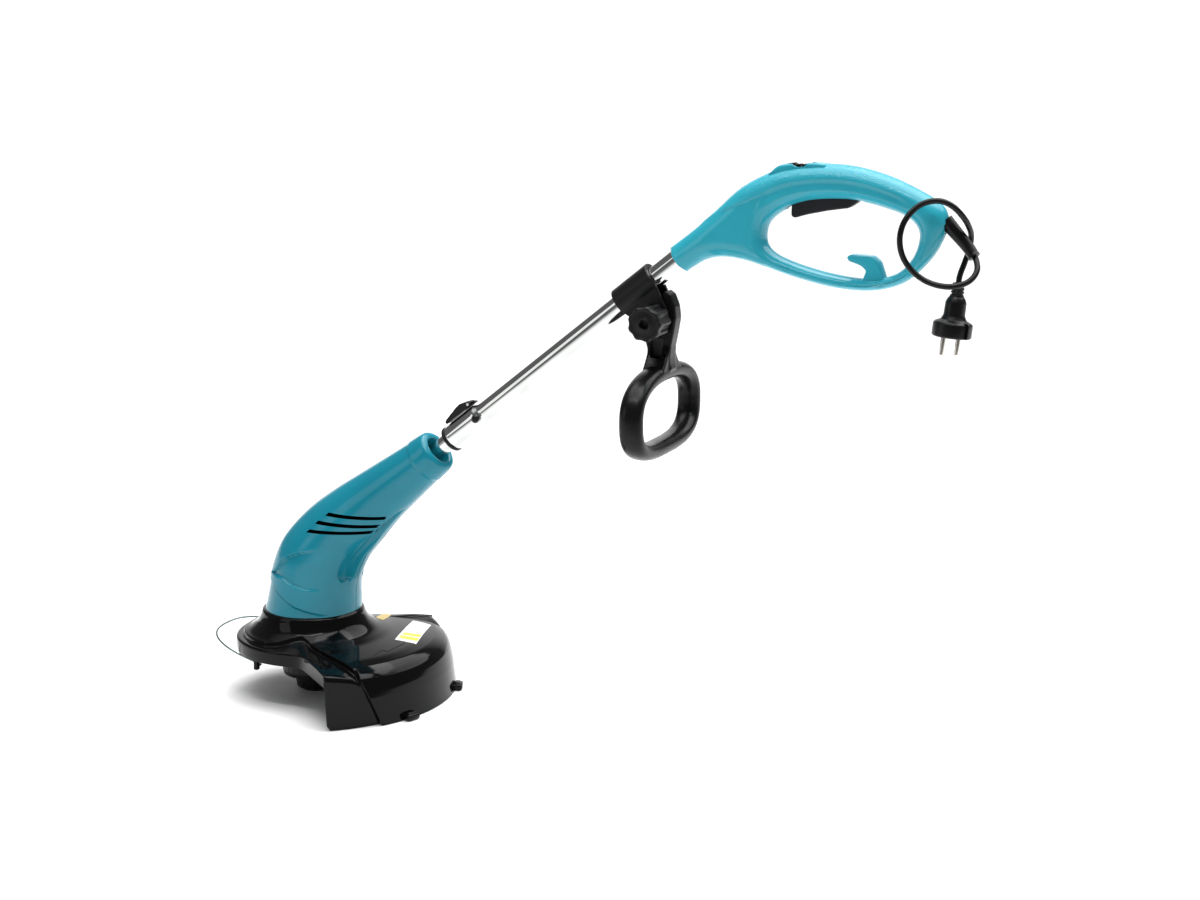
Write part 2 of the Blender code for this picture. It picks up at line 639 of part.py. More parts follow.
def build_bracket():
    """A strap over the tube with two cheeks below it, trimmed to its outline in the side view."""
    bore = OUTER_TUBE_R + 0.00035
    low = -(BOLT_DROP + 0.0140)
    lap = math.degrees(math.acos(CHEEK_OUT / CLAMP_R))
    inner = math.degrees(math.acos(CHEEK_IN / bore))
    outline = [(CHEEK_OUT, low), *arc((0, 0), CLAMP_R, -lap, 180 + lap, 22), (-CHEEK_OUT, low),
               (-CHEEK_IN, low), *arc((0, 0), bore, 180 + inner, -inner, 22), (CHEEK_IN, low)]
    # The outline's x is the row's Y and its y is the rise above the tube.
    across = Matrix((
        (0, TUBE_UP.x, TUBE_DIR.x, 0),
        (1, TUBE_UP.y, TUBE_DIR.y, 0),
        (0, TUBE_UP.z, TUBE_DIR.z, 0),
        (0, 0, 0, 1),
    ))
    body = plate("clamp_bracket", outline, CLAMP_HIGH_S - CLAMP_LOW_S, BLACK_SATIN,
                 where=on_tube((CLAMP_LOW_S + CLAMP_HIGH_S) / 2), turn=across)
    side = plate("clamp_outline",
                 [(CLAMP_LOW_S - 0.01, 0.03), (CLAMP_LOW_S - 0.01, -0.0060), (CLAMP_LOW_S, -0.0080),
                                   (0.2745, -0.0340), *arc((BOLT_S, -BOLT_DROP), 0.0138, 185, 355, 12),
                                   (0.3045, -0.0300), (CLAMP_HIGH_S - 0.0010, -0.0080),
                  (CLAMP_HIGH_S + 0.01, -0.0060),
                                   (CLAMP_HIGH_S + 0.01, 0.03)], 0.06, helper=True, turn=TUBE_SIDE)
    combine(body, side, "INTERSECT")
    hole = turned("bolt_hole", [(0, 0.05), (0.0034, 0.05), (0.0034, -0.05), (0, -0.05)], steps=16, where=BOLT,
                  turn=AXIS_Y, helper=True)
    cut(body, hole)
    return hole


bolt_hole = build_bracket()

# The handle's tongue goes up between the bracket's cheeks: points right and up of the bolt.
TONGUE = ((0.0130, -0.0500), (0.0132, -0.0420), (0.0138, -0.0260), (0.0165, -0.0130), (0.0190, 0.0020),
          (0.0175, 0.0140), (0.0130, 0.0250), (0.0080, 0.0285), (0.0020, 0.0240))
TONGUE_LEFT = ((-0.0205, -0.0080), (-0.0140, -0.0200), (-0.0115, -0.0300), (-0.0120, -0.0420),
               (-0.0120, -0.0500))


def build_front_handle():
    head = arc((0, 0), 0.0218, 88, 198, 10)
    outline = [*TONGUE, *head, *TONGUE_LEFT]
    tongue = plate("handle_tongue", outline, 2 * (CHEEK_IN - 0.0006), helper=True, where=BOLT,
                   turn=SIDE_PLANE)
    around, across = 40, 10
    points = []
    for i in range(around):
        angle = 2 * math.pi * i / around
        corner = 2.7 if math.sin(angle) < 0 else 2.2
        c, s = math.cos(angle), math.sin(angle)
        y = LOOP_HALF_WIDTH * math.copysign(abs(c) ** (2 / corner), c)
        z = LOOP_HALF_HEIGHT * math.copysign(abs(s) ** (2 / corner), s)
        outward = Vector((0, c / LOOP_HALF_WIDTH, s / LOOP_HALF_HEIGHT)).normalized()
        for j in range(across):
            turn = 2 * math.pi * j / across
            off = outward * (0.0085 * math.cos(turn))
            points.append((LOOP_X + 0.0120 * math.sin(turn), y + off.y, LOOP_Z + z + off.z))
    faces = []
    for i in range(around):
        k = (i + 1) % around
        for j in range(across):
            m = (j + 1) % across
            faces.append((i * across + j, i * across + m, k * across + m, k * across + j))
    loop = from_data("front_handle", points, faces, BLACK_SATIN)
    form = bmesh.new()
    form.from_mesh(loop.data)
    bmesh.ops.recalc_face_normals(form, faces=form.faces)
    form.to_mesh(loop.data)
    form.free()
    join(loop, tongue)
    cut(loop, bolt_hole)


build_front_handle()

KNOB_LOBES = 9
KNOB_LOW, KNOB_HIGH = 0.0136, 0.0460


def build_knob():
    steps = KNOB_LOBES * 6
    outline = []
    for i in range(steps):
        angle = 2 * math.pi * i / steps
        radius = 0.0163 + 0.0011 * math.cos(KNOB_LOBES * angle)
        outline.append((radius * math.cos(angle), radius * math.sin(angle)))
    middle = (KNOB_LOW + KNOB_HIGH) / 2
    knob = plate("clamp_knob", outline, KNOB_HIGH - KNOB_LOW, BLACK_SATIN,
                 where=BOLT + Vector((0, -middle, 0)), turn=SIDE_PLANE)
    socket = turned("knob_socket", [(0, 0.0010), (0.0048, 0.0010), (0.0048, -0.0060), (0, -0.0060)], steps=6,
                    where=BOLT + Vector((0, -KNOB_HIGH, 0)), turn=Matrix.Rotation(math.radians(90), 4, "X"),
                    helper=True)
    cut(knob, socket)
    well = turned("knob_well", [(0, 0.0200), (0.0034, 0.0200), (0.0034, -0.0200), (0, -0.0200)], steps=16,
                  where=BOLT + Vector((0, -KNOB_LOW, 0)), turn=AXIS_Y, helper=True)
    cut(knob, well)


build_knob()
turned("clamp_bolt", [(0, 0.0200), (0.0030, 0.0200), (0.0030, -0.0330), (0, -0.0330)], STEEL, steps=16,
       where=BOLT, turn=AXIS_Y)
turned("clamp_nut", [(0.0065, 0.0190), (0.0065, 0.0136), (0.0039, 0.0136), (0.0039, 0.0190)], STEEL, steps=6,
       where=BOLT, turn=AXIS_Y)

# Rear handle -------------------------------------------------------------------------------------

# Side view outlines, x and z.
HANDLE_OUTER = ((0.4172, 0.5047), (0.4400, 0.5220), (0.4640, 0.5425), (0.4920, 0.5670), (0.5270, 0.5840),
                (0.5640, 0.5900), (0.5980, 0.5895), (0.6330, 0.5815), (0.6650, 0.5680), (0.6850, 0.5560),
                (0.6915, 0.5430), (0.6890, 0.5270), (0.6770, 0.5050), (0.6540, 0.4830), (0.6250, 0.4735),
                (0.5910, 0.4735), (0.5550, 0.4800), (0.5220, 0.4890), (0.4960, 0.4960), (0.4730, 0.4985),
                (0.4560, 0.4952), (0.4430, 0.4880), (0.4348, 0.4823))
HANDLE_OPENING = ((0.5160, 0.5200), (0.5200, 0.5340), (0.5350, 0.5460), (0.5580, 0.5545), (0.5840, 0.5570),
                  (0.6080, 0.5560), (0.6350, 0.5500), (0.6540, 0.5430), (0.6640, 0.5330), (0.6650, 0.5210),
                  (0.6590, 0.5050), (0.6460, 0.4915), (0.6260, 0.4850), (0.6010, 0.4850), (0.5670, 0.4905),
                  (0.5350, 0.5000), (0.5200, 0.5090))
# Half thickness of the handle along x.
HANDLE_DEPTH = ((0.415, 0.0143), (0.436, 0.0145), (0.455, 0.0165), (0.500, 0.0190), (0.560, 0.0185),
                (0.640, 0.0175), (0.700, 0.0160))


def inset(loop, amount):
    """A loop of plan points moved towards its own inside, or outwards when the amount is negative."""
    nodes = np.array(loop)
    ahead = np.roll(nodes, -1, axis=0) - np.roll(nodes, 1, axis=0)
    normal = np.stack([ahead[:, 1], -ahead[:, 0]], 1) / np.linalg.norm(ahead, axis=1)[:, None]
    area = np.sum(nodes[:, 0] * np.roll(nodes[:, 1], -1) - np.roll(nodes[:, 0], -1) * nodes[:, 1])
    return nodes - normal * math.copysign(amount, amount * area)


def distance_to(points, chains):
    """The distance from each point to the nearest of the chains."""
    best = np.full(len(points), 1.0)
    for chain in chains:
        for a, b in zip(chain[:-1], chain[1:]):
            span = b - a
            t = np.clip(((points - a) @ span) / (span @ span), 0, 1)
            best = np.minimum(best, np.linalg.norm(points - (a + t[:, None] * span), axis=1))
    return best


def inside(points, loop):
    result = np.zeros(len(points), bool)
    for a, b in zip(loop, np.roll(loop, -1, axis=0)):
        crosses = (a[1] > points[:, 1]) != (b[1] > points[:, 1])
        edge = (b[0] - a[0]) * (points[:, 1] - a[1]) / (b[1] - a[1] + 1e-12) + a[0]
        result ^= crosses & (points[:, 0] < edge)
    return result


def pillow(name, side, wall, helper):
    """Half of the handle, domed from its outline and flat at the seam; wall shrinks it on every side."""
    outer = [(p.x, p.y) for p in curved([(x, z, 0) for x, z in HANDLE_OUTER], per_span=2)]
    opening = [(p.x, p.y) for p in curved([(x, z, 0) for x, z in HANDLE_OPENING], closed=True, per_span=2)]
    outer = inset(outer, wall)
    opening = inset(opening, -wall)
    chains = (outer, np.vstack([opening, opening[:1]]))
    roundness = HANDLE_ROUND - wall
    spacing = 0.0098
    lattice = np.array([
        (x + spacing / 2 * (row % 2), z)
        for row, z in enumerate(np.arange(0.475, 0.590, spacing))
        for x in np.arange(0.421, 0.692, spacing)
    ])
    lattice = lattice[inside(lattice, outer) & ~inside(lattice, opening)]
    lattice = lattice[distance_to(lattice, chains) > 0.0072]
    rings = np.vstack([
        inset(loop, sign * step)
        for step in (0.0011, 0.0042)
        for loop, sign in ((outer, 1), (opening, -1))
    ])
    rings = rings[inside(rings, outer) & ~inside(rings, opening)]
    rings = rings[distance_to(rings, chains) > 0.0008]
    plan = np.vstack([outer, opening, rings, lattice])
    first, count = len(outer), len(opening)
    edges = [(i, (i + 1) % first) for i in range(first)]
    edges += [(first + i, first + (i + 1) % count) for i in range(count)]
    found, _, faces, _, _, _ = delaunay_2d_cdt([Vector(p) for p in plan], edges, [], 0, 1e-6)
    found = np.array([(p.x, p.y) for p in found])
    depth = np.interp(found[:, 0], [x for x, _ in HANDLE_DEPTH], [d for _, d in HANDLE_DEPTH]) - wall
    reach = np.clip(distance_to(found, chains) / roundness, 0, 1)
    height = depth * np.sqrt(1 - (1 - reach) ** 2) - 0.0006
    form = bmesh.new()
    domed = [form.verts.new((x, side * h, z)) for (x, z), h in zip(found, height)]
    flat = [form.verts.new((x, -side * 0.0020, z)) for x, z in found]
    middles = np.array([found[list(face)].mean(axis=0) for face in faces])
    in_handle = inside(middles, outer) & ~inside(middles, opening)
    for face, wanted in zip(faces, in_handle):
        if wanted:
            form.faces.new([domed[i] for i in face])
            form.faces.new([flat[i] for i in reversed(face)])
    for edge in [e for e in form.edges if e.is_boundary and e.verts[0] in domed]:
        a, b = (domed.index(v) for v in edge.verts)
        form.faces.new([domed[a], domed[b], flat[b], flat[a]])
    bmesh.ops.delete(form, geom=[v for v in form.verts if not v.link_faces], context="VERTS")
    bmesh.ops.recalc_face_normals(form, faces=form.faces)
    mesh = bpy.data.meshes.new(name)
    form.to_mesh(mesh)
    form.free()
    return finish(name, mesh, TEAL, helper)


def build_handle_half(name, side):
    """One clam shell of the rear handle."""
    half = pillow(name, side, 0.0, False)
    hollow = pillow(f"{name}_hollow", side, HANDLE_WALL, True)
    return split_off(cut(half, hollow), side)


handle_left = build_handle_half("handle_shell_left", -1)
handle_right = build_handle_half("handle_shell_right", 1)

# The hook for the lead, half on each shell.
HOOK = ((0.5975, 0.5045), (0.6010, 0.5070), (0.6220, 0.5060), (0.6285, 0.5005), (0.6330, 0.4880),
        (0.6340, 0.4805),
        (0.6130, 0.4805), (0.6155, 0.4880), (0.6170, 0.4925), (0.6110, 0.4970), (0.5990, 0.5008))
for side, half in ((-1, handle_left), (1, handle_right)):
    hook = plate(f"hook_{side}", HOOK, 0.0080 - GAP / 2, helper=True, turn=SIDE_PLANE,
                 where=(0, side * (0.0080 + GAP / 2) / 2, 0))
    join(half, hook)
shelf = box("spring_shelf", (0.5385, -0.0150, 0.5688), (0.5590, 0.0055, 0.5700), helper=True)
join(handle_left, shelf)

tube_bore = turned("tube_bore", [(0, OUTER_TUBE_END + 0.0006), (OUTER_TUBE_R + GAP, OUTER_TUBE_END + 0.0006),
                                 (OUTER_TUBE_R + GAP, 0.3200), (0, 0.3200)], steps=32, where=NECK,
                   turn=ALONG_TUBE,
                   helper=True)
trigger_slot = box("trigger_slot", (0.5365, -0.0072, 0.5440), (0.6125, 0.0072, 0.5620), helper=True)
button_pocket = box("button_pocket", (0.5368, -0.0074, 0.5770), (0.5612, 0.0074, 0.6000), helper=True)

LEAD_DIR = (Vector(EXIT_END) - Vector(EXIT_ROOT)).normalized()
BOOT_LENGTH = (Vector(EXIT_END) - Vector(EXIT_ROOT)).length
BOOT = ((0.0056, BOOT_LENGTH), (0.0058, BOOT_LENGTH - 0.0080), (0.0064, 0.0220), (0.0072, 0.0160),
        (0.0078, 0.0150),
        (0.0078, 0.0120), (0.0068, 0.0110), (0.0068, 0.0))
lead_exit = turned("lead_exit", [(0, BOOT_LENGTH + 0.001), *((r + 0.0004, z) for r, z in BOOT), (0, 0.0)],
                   steps=24,
                   where=EXIT_ROOT, turn=aim(LEAD_DIR), helper=True)
for half in (handle_left, handle_right):
    for cutter in (tube_bore, trigger_slot, button_pocket, lead_exit):
        cut(half, cutter)

# Controls ----------------------------------------------------------------------------------------

trigger = plate("trigger",
                [(0.5420, 0.5505), (0.5418, 0.5410), (0.5460, 0.5392), (0.5590, 0.5430), (0.5780, 0.5470),
                            (0.5980, 0.5500), (0.6060, 0.5555), (0.6100, 0.5600), (0.6080, 0.5650),
                 (0.6020, 0.5660),
                            (0.5600, 0.5620), (0.5430, 0.5600)], 0.0130, BLACK_SATIN, turn=SIDE_PLANE)
pin_at = (TRIGGER_PIVOT[0], 0, TRIGGER_PIVOT[1])
pin_hole = turned("trigger_pin_hole", [(0, 0.02), (0.0019, 0.02), (0.0019, -0.02), (0, -0.02)], steps=12,
                  where=pin_at, turn=AXIS_Y, helper=True)
cut(trigger, pin_hole)
turned("trigger_pin", [(0, 0.0070), (0.0015, 0.0070), (0.0015, -0.0070), (0, -0.0070)], STEEL, steps=12,
       where=pin_at, turn=AXIS_Y)
switch = box("switch_body", (0.5735, -0.0065, 0.5690), (0.6060, 0.0065, 0.5842), BLACK_SATIN, bevel=0.0008)
plunger_well = turned("plunger_well", [(0, 0.0120), (0.0024, 0.0120), (0.0024, -0.0020), (0, -0.0020)],
                      steps=12,
                      where=(0.5800, 0, 0.5690), helper=True)
cut(switch, plunger_well)
turned("switch_plunger", [(0, 0.0115), (0.0020, 0.0115), (0.0020, 0.0), (0, 0.0)], STEEL, steps=12,
       where=(0.5800, 0, 0.5645))


def spring(name, where, radius, height, wire, turns):
    points = []
    for i in range(turns * 8 + 1):
        angle = 2 * math.pi * i / 8
        points.append((where[0] + radius * math.cos(angle), where[1] + radius * math.sin(angle),
                       where[2] + height * i / (turns * 8)))
    return tube(name, points, wire, STEEL, resolution=1)


spring("trigger_spring", (0.5665, 0, 0.5635), 0.0026, 0.0225, 0.00035, 5)
button = box("lock_off_button", (0.5374, -0.0070, 0.5782), (0.5606, 0.0070, 0.5896), BLACK_SATIN,
             bevel=0.0012)
flange = box("button_flange", (0.5350, -0.0078, 0.5778), (0.5630, 0.0078, 0.5796), helper=True)
join(button, flange)
spring("lock_off_spring", (0.5490, 0, 0.5708), 0.0026, 0.0062, 0.00035, 3)

# Lead --------------------------------------------------------------------------------------------

turned("strain_relief", [*BOOT, (CORD_R + 0.0005, 0.0), (CORD_R + 0.0012, BOOT_LENGTH - 0.0080),
                         (CORD_R + 0.0022, BOOT_LENGTH)], BLACK_RUBBER, steps=20,
       where=EXIT_ROOT, turn=aim(LEAD_DIR))
LEAD_ROUTE = ((0.6840, 0.0000, 0.5465), (0.6925, 0.0000, 0.5373), (0.7015, 0.0000, 0.5275),
              (0.7105, -0.0003, 0.5177),
              (0.7185, -0.0032, 0.5080), (0.7220, -0.0110, 0.4980), (0.7180, -0.0205, 0.4895),
              (0.7080, -0.0285, 0.4850), (0.6955, -0.0315, 0.4845), (0.6825, -0.0320, 0.4875),
              (0.6710, -0.0325, 0.4940), (0.6620, -0.0345, 0.5040), (0.6570, -0.0370, 0.5160),
              (0.6560, -0.0380, 0.5295), (0.6590, -0.0350, 0.5425), (0.6660, -0.0295, 0.5530),
              (0.6760, -0.0255, 0.5595), (0.6890, -0.0235, 0.5610), (0.7000, -0.0200, 0.5560),
              (0.7080, -0.0125, 0.5460), (0.7110, -0.0025, 0.5370), (0.7112, 0.0080, 0.5275),
              (0.7092, 0.0122, 0.5150), (0.7055, 0.0105, 0.5020), (0.7020, 0.0078, 0.4895),
              (0.7010, 0.0065, 0.4770))
tube("cord", curved(LEAD_ROUTE, per_span=3), CORD_R, BLACK_RUBBER, resolution=2)

PLUG_TOP = Vector((0.7016, 0.0070, 0.4835))
PLUG_DIR = Vector((-0.0904, -0.0603, -0.9940)).normalized()
PIN_SIDE = Vector((0.551, 0.819, -0.0998)).normalized()
PLUG_TURN = Matrix((
    (PIN_SIDE.x, PLUG_DIR.cross(PIN_SIDE).x, PLUG_DIR.x, 0),
    (PIN_SIDE.y, PLUG_DIR.cross(PIN_SIDE).y, PLUG_DIR.y, 0),
    (PIN_SIDE.z, PLUG_DIR.cross(PIN_SIDE).z, PLUG_DIR.z, 0),
    (0, 0, 0, 1),
))
PLUG = ((0, 0.0510), (0.0178, 0.0510), (0.0186, 0.0500), (0.0186, 0.0375), (0.0170, 0.0360), (0.0110, 0.0340),
        (0.0098, 0.0300), (0.0094, 0.0160), (0.0072, 0.0130), (0.0060, 0.0010), (0.0056, 0.0), (0.0033, 0.0),
        (0.0033, 0.0080), (0, 0.0080))
plug = turned("plug_body", PLUG, BLACK_RUBBER, steps=28, where=PLUG_TOP, turn=PLUG_TURN)
for side, label in ((-1, "a"), (1, "b")):
    notch = box(f"plug_notch_{label}", (-0.0026, side * 0.0185 - 0.0030, 0.0340),
                (0.0026, side * 0.0185 + 0.0030, 0.0600),
                helper=True, turn=PLUG_TURN, centre=PLUG_TOP)
    cut(plug, notch)
    pin_turn = Matrix.Translation(PLUG_TOP) @ PLUG_TURN @ Matrix.Translation((side * 0.0095, 0, 0.0513))
    turned(f"plug_pin_{label}", [(0, 0.0190), (0.0016, 0.0188), (0.0024, 0.0165), (0.0024, 0.0), (0, 0.0)],
           BRASS,
           steps=16, where=pin_turn.translation, turn=PLUG_TURN)
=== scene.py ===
"""The looks of a corded string trimmer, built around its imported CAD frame.

+X runs from the cutting head towards the rear handle, +Z is up, and the operator's left is -Y.
All sizes are in metres. Joints, bodies, slots and some nodes' shapes come from the frame; the other shapes are made
here in the frame's own coordinates.
"""

import json
import math

import bmesh
import bpy
import numpy as np
from mathutils import Matrix, Vector
from mathutils.geometry import delaunay_2d_cdt


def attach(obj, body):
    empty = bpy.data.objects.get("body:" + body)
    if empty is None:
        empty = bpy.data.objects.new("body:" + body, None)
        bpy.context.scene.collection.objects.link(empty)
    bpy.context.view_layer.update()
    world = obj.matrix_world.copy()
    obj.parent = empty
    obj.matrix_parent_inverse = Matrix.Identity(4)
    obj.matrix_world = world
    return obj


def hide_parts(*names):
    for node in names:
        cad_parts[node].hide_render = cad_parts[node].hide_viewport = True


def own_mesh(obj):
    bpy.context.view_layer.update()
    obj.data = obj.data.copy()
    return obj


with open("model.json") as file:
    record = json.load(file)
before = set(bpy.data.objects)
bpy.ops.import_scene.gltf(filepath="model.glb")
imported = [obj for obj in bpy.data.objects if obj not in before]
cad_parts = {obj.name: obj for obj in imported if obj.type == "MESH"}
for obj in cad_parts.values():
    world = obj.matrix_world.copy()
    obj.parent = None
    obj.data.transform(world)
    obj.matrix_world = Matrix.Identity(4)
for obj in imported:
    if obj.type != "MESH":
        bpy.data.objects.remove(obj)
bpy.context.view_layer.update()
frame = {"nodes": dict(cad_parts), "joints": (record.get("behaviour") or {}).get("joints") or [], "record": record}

JOINTS = {joint["name"]: joint for joint in frame["joints"]}
BODY_OF = {node: body for body, nodes in frame["record"]["behaviour"]["bodies"].items() for node in nodes}
SLOT_OF = {part["node"]: part["material_slot"] for part in frame["record"]["subparts"]}


def joint_at(name):
    return Vector(JOINTS[name]["pos_m"])


def placed(name, data):
    """A new object in the scene."""
    obj = bpy.data.objects.new(name, data)
    bpy.context.scene.collection.objects.link(obj)
    return obj


TUBE_DIR = Vector(JOINTS["telescope"]["axis"]).normalized()
NECK = joint_at("telescope") - TUBE_DIR * 0.02
BOLT = joint_at("clamp_knob_turn")
SIDE_PLANE = Matrix.Rotation(math.radians(90), 4, "X")
SIDES = ((-1, "left"), (1, "right"))

# Camera -----

camera_data = bpy.data.cameras.new("camera")
camera_data.sensor_width = 36.0
camera_data.lens = 59.4
camera_data.clip_end = 60.0
camera = placed("camera", camera_data)
camera.location = (1.11, -1.8074, 0.7139)
camera.rotation_euler = (math.radians(78), 0, math.radians(23))
bpy.context.scene.camera = camera
bpy.context.scene.view_settings.view_transform = "Standard"


# Curves and outlines -----


def curved(points, per_span, closed=False):
    """Points of a smooth curve through the given points."""
    points = [Vector(p) for p in points]
    if closed:
        padded = [points[-1], *points, points[0], points[1]]
    else:
        padded = [2 * points[0] - points[1], *points, 2 * points[-1] - points[-2]]
    found = []
    for i in range(len(padded) - 3):
        a, b, c, d = padded[i : i + 4]
        for k in range(per_span):
            t = k / per_span
            rise, bend, twist = c - a, 2 * a - 5 * b + 4 * c - d, 3 * b - a - 3 * c + d
            found.append(0.5 * (2 * b + rise * t + bend * t * t + twist * t**3))
    return found if closed else [*found, points[-1]]


def rounded(points, reach, steps=3, closed=False):
    """The outline with its corners rounded over a reach on both sides."""
    points = [Vector(p) for p in points]
    last = len(points) - 1
    found = []
    for i, corner in enumerate(points):
        if not closed and i in (0, last):
            found.append(corner)
            continue
        before, after = points[i - 1] - corner, points[(i + 1) % len(points)] - corner
        a = corner + before.normalized() * min(reach, 0.45 * before.length)
        b = corner + after.normalized() * min(reach, 0.45 * after.length)
        for k in range(steps + 1):
            t = k / steps
            found.append(a * (1 - t) ** 2 + corner * (2 * t * (1 - t)) + b * t * t)
    return found


def arc(centre, radius, start, end, steps):
    """Points of an arc in a plane, between two angles in degrees."""
    angles = [math.radians(start + (end - start) * i / steps) for i in range(steps + 1)]
    return [(centre[0] + radius * math.cos(angle), centre[1] + radius * math.sin(angle)) for angle in angles]


def turn_of(steps):
    """Cosine and sine at even steps of one turn."""
    angles = [2 * math.pi * j / steps for j in range(steps)]
    return [(math.cos(angle), math.sin(angle)) for angle in angles]


def grid_faces(rows, columns, closed_columns=False, closed_rows=False, capped=False):
    """Faces between the points of a grid, which may close on itself or have a cap on its first and last row."""
    faces = []
    for i in range(rows if closed_rows else rows - 1):
        here, above = i * columns, (i + 1) % rows * columns
        for j in range(columns if closed_columns else columns - 1):
            k = (j + 1) % columns
            faces.append((here + j, here + k, above + k, above + j))
    if capped:
        faces += [tuple(range(columns)), tuple(range((rows - 1) * columns, rows * columns))]
    return faces


def smoothstep(values, low, high):
    t = np.clip((np.asarray(values, float) - low) / (high - low), 0, 1)
    return t * t * (3 - 2 * t)


def fading(values, low, high):
    return 1 - smoothstep(values, low, high)


def bell(values, middle, width):
    return np.exp(-(((values - middle) / width) ** 2))


def facing(place, direction):
    """The frame at a place whose Z runs along a direction."""
    return Matrix.Translation(place) @ direction.to_track_quat("Z", "Y").to_matrix().to_4x4()


# Pieces -----


def smoothed(mesh, angle):
    """Smooth shading, with sharp edges above an angle in degrees."""
    mesh.shade_smooth()
    mesh.set_sharp_from_angle(angle=math.radians(angle))


def piece(name, mesh, finish, node=None, sharp=35, body=None, slot=None):
    """Turns a mesh into a piece that stands for a CAD node, with its body unless another is given; its slot argument is
    not used.
    """
    obj = placed(name, mesh)
    mesh.materials.clear()
    mesh.materials.append(finish)
    smoothed(mesh, sharp)
    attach(obj, body or BODY_OF[node])
    if node:
        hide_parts(node)
    return obj


def form_of(mesh):
    form = bmesh.new()
    form.from_mesh(mesh)
    return form


def made_mesh(name, form):
    mesh = bpy.data.meshes.new(name)
    form.to_mesh(mesh)
    form.free()
    return mesh


def outward(mesh, merge):
    """Merges a mesh's doubled points and turns its faces outward."""
    form = form_of(mesh)
    bmesh.ops.remove_doubles(form, verts=form.verts, dist=merge)
    bmesh.ops.recalc_face_normals(form, faces=form.faces)
    form.to_mesh(mesh)
    form.free()
    return mesh


def mesh_of(name, points, faces):
    """A mesh from points and faces, with its faces turned outward."""
    mesh = bpy.data.meshes.new(name)
    mesh.from_pydata([tuple(p) for p in points], [], faces)
    return outward(mesh, 1e-7)


def lathe(name, profile, matrix, steps, reach=0.0006, ring=False):
    """A turned mesh about the matrix's Z axis; its profile of (radius, height) gets rounded corners."""
    outline = rounded(profile, reach, closed=ring)
    points = [matrix @ Vector((r * c, r * s, z)) for r, z in outline for c, s in turn_of(steps)]
    return mesh_of(name, points, grid_faces(len(outline), steps, True, ring))


def sweep(name, path, radii, steps):
    """A round mesh along a path, with a radius for each of its points and closed ends."""
    path = [Vector(p) for p in path]
    side = Vector((1, 0, 0)) if abs((path[1] - path[0]).normalized().y) > 0.8 else Vector((0, 1, 0))
    points = []
    for i, (centre, radius) in enumerate(zip(path, radii)):
        ahead = (path[min(i + 1, len(path) - 1)] - path[max(i - 1, 0)]).normalized()
        side = (side - ahead * side.dot(ahead)).normalized()
        up = ahead.cross(side)
        points += [centre + radius * (side * c + up * s) for c, s in turn_of(steps)]
    return mesh_of(name, points, grid_faces(len(path), steps, True, capped=True))


def add_spline(curve, points):
    spline = curve.splines.new("POLY")
    spline.points.add(len(points) - 1)
    for point, where in zip(spline.points, points):
        point.co = (*where, 1)
    return spline


def shown_mesh(obj):
    """The mesh that an object shows with its modifiers."""
    bpy.context.view_layer.update()
    return bpy.data.meshes.new_from_object(obj.evaluated_get(bpy.context.evaluated_depsgraph_get()))


def plate(name, outline, thickness, edge, matrix):
    """A flat mesh with rounded edges: an outline in the matrix's XY plane, thickened along its Z."""
    curve = bpy.data.curves.new(name, "CURVE")
    curve.dimensions = "2D"
    curve.fill_mode = "BOTH"
    curve.bevel_depth = edge
    curve.bevel_resolution = 3
    curve.offset = -edge
    curve.extrude = thickness / 2 - edge
    add_spline(curve, [(x, y, 0) for x, y in outline]).use_cyclic_u = True
    holder = placed(name, curve)
    mesh = shown_mesh(holder)
    bpy.data.objects.remove(holder, do_unlink=True)
    mesh.transform(matrix)
    return outward(mesh, 1e-6)


def merged(name, *meshes):
    form = bmesh.new()
    for mesh in meshes:
        form.from_mesh(mesh)
    return made_mesh(name, form)


def block(low, high, edge, matrix=Matrix.Identity(4)):
    """A box mesh between two corners, with rounded edges."""
    low, high = Vector(low), Vector(high)
    form = bmesh.new()
    bmesh.ops.create_cube(form, size=1.0)
    bmesh.ops.scale(form, vec=high - low, verts=form.verts)
    bmesh.ops.translate(form, vec=(high + low) / 2, verts=form.verts)
    bmesh.ops.bevel(form, geom=form.edges, offset=edge, segments=3, affect="EDGES", profile=0.5)
    mesh = made_mesh("block", form)
    mesh.transform(matrix)
    return mesh


def baked(obj):
    """Replaces a piece's mesh with the one its modifiers make."""
    mesh = shown_mesh(obj)
    obj.modifiers.clear()
    obj.data = mesh


def carve(obj, *cutter_meshes, sharp=None):
    """Cuts meshes out of a piece, one after another, and smooths it again."""
    for cutter_mesh in cutter_meshes:
        cutter = placed("cutter", cutter_mesh)
        modifier = obj.modifiers.new("carve", "BOOLEAN")
        modifier.object = cutter
        modifier.solver = "EXACT"
        baked(obj)
        bpy.data.objects.remove(cutter, do_unlink=True)
    if sharp:
        smoothed(obj.data, sharp)


def soften(obj, voxel, passes):
    """Makes one flowing surface of an object's overlapping shapes and rounds its edges."""
    remesh = obj.modifiers.new("flow", "REMESH")
    remesh.mode = "VOXEL"
    remesh.voxel_size = voxel
    remesh.use_smooth_shade = True
    smooth = obj.modifiers.new("soften", "SMOOTH")
    smooth.factor = 0.5
    smooth.iterations = passes
    baked(obj)


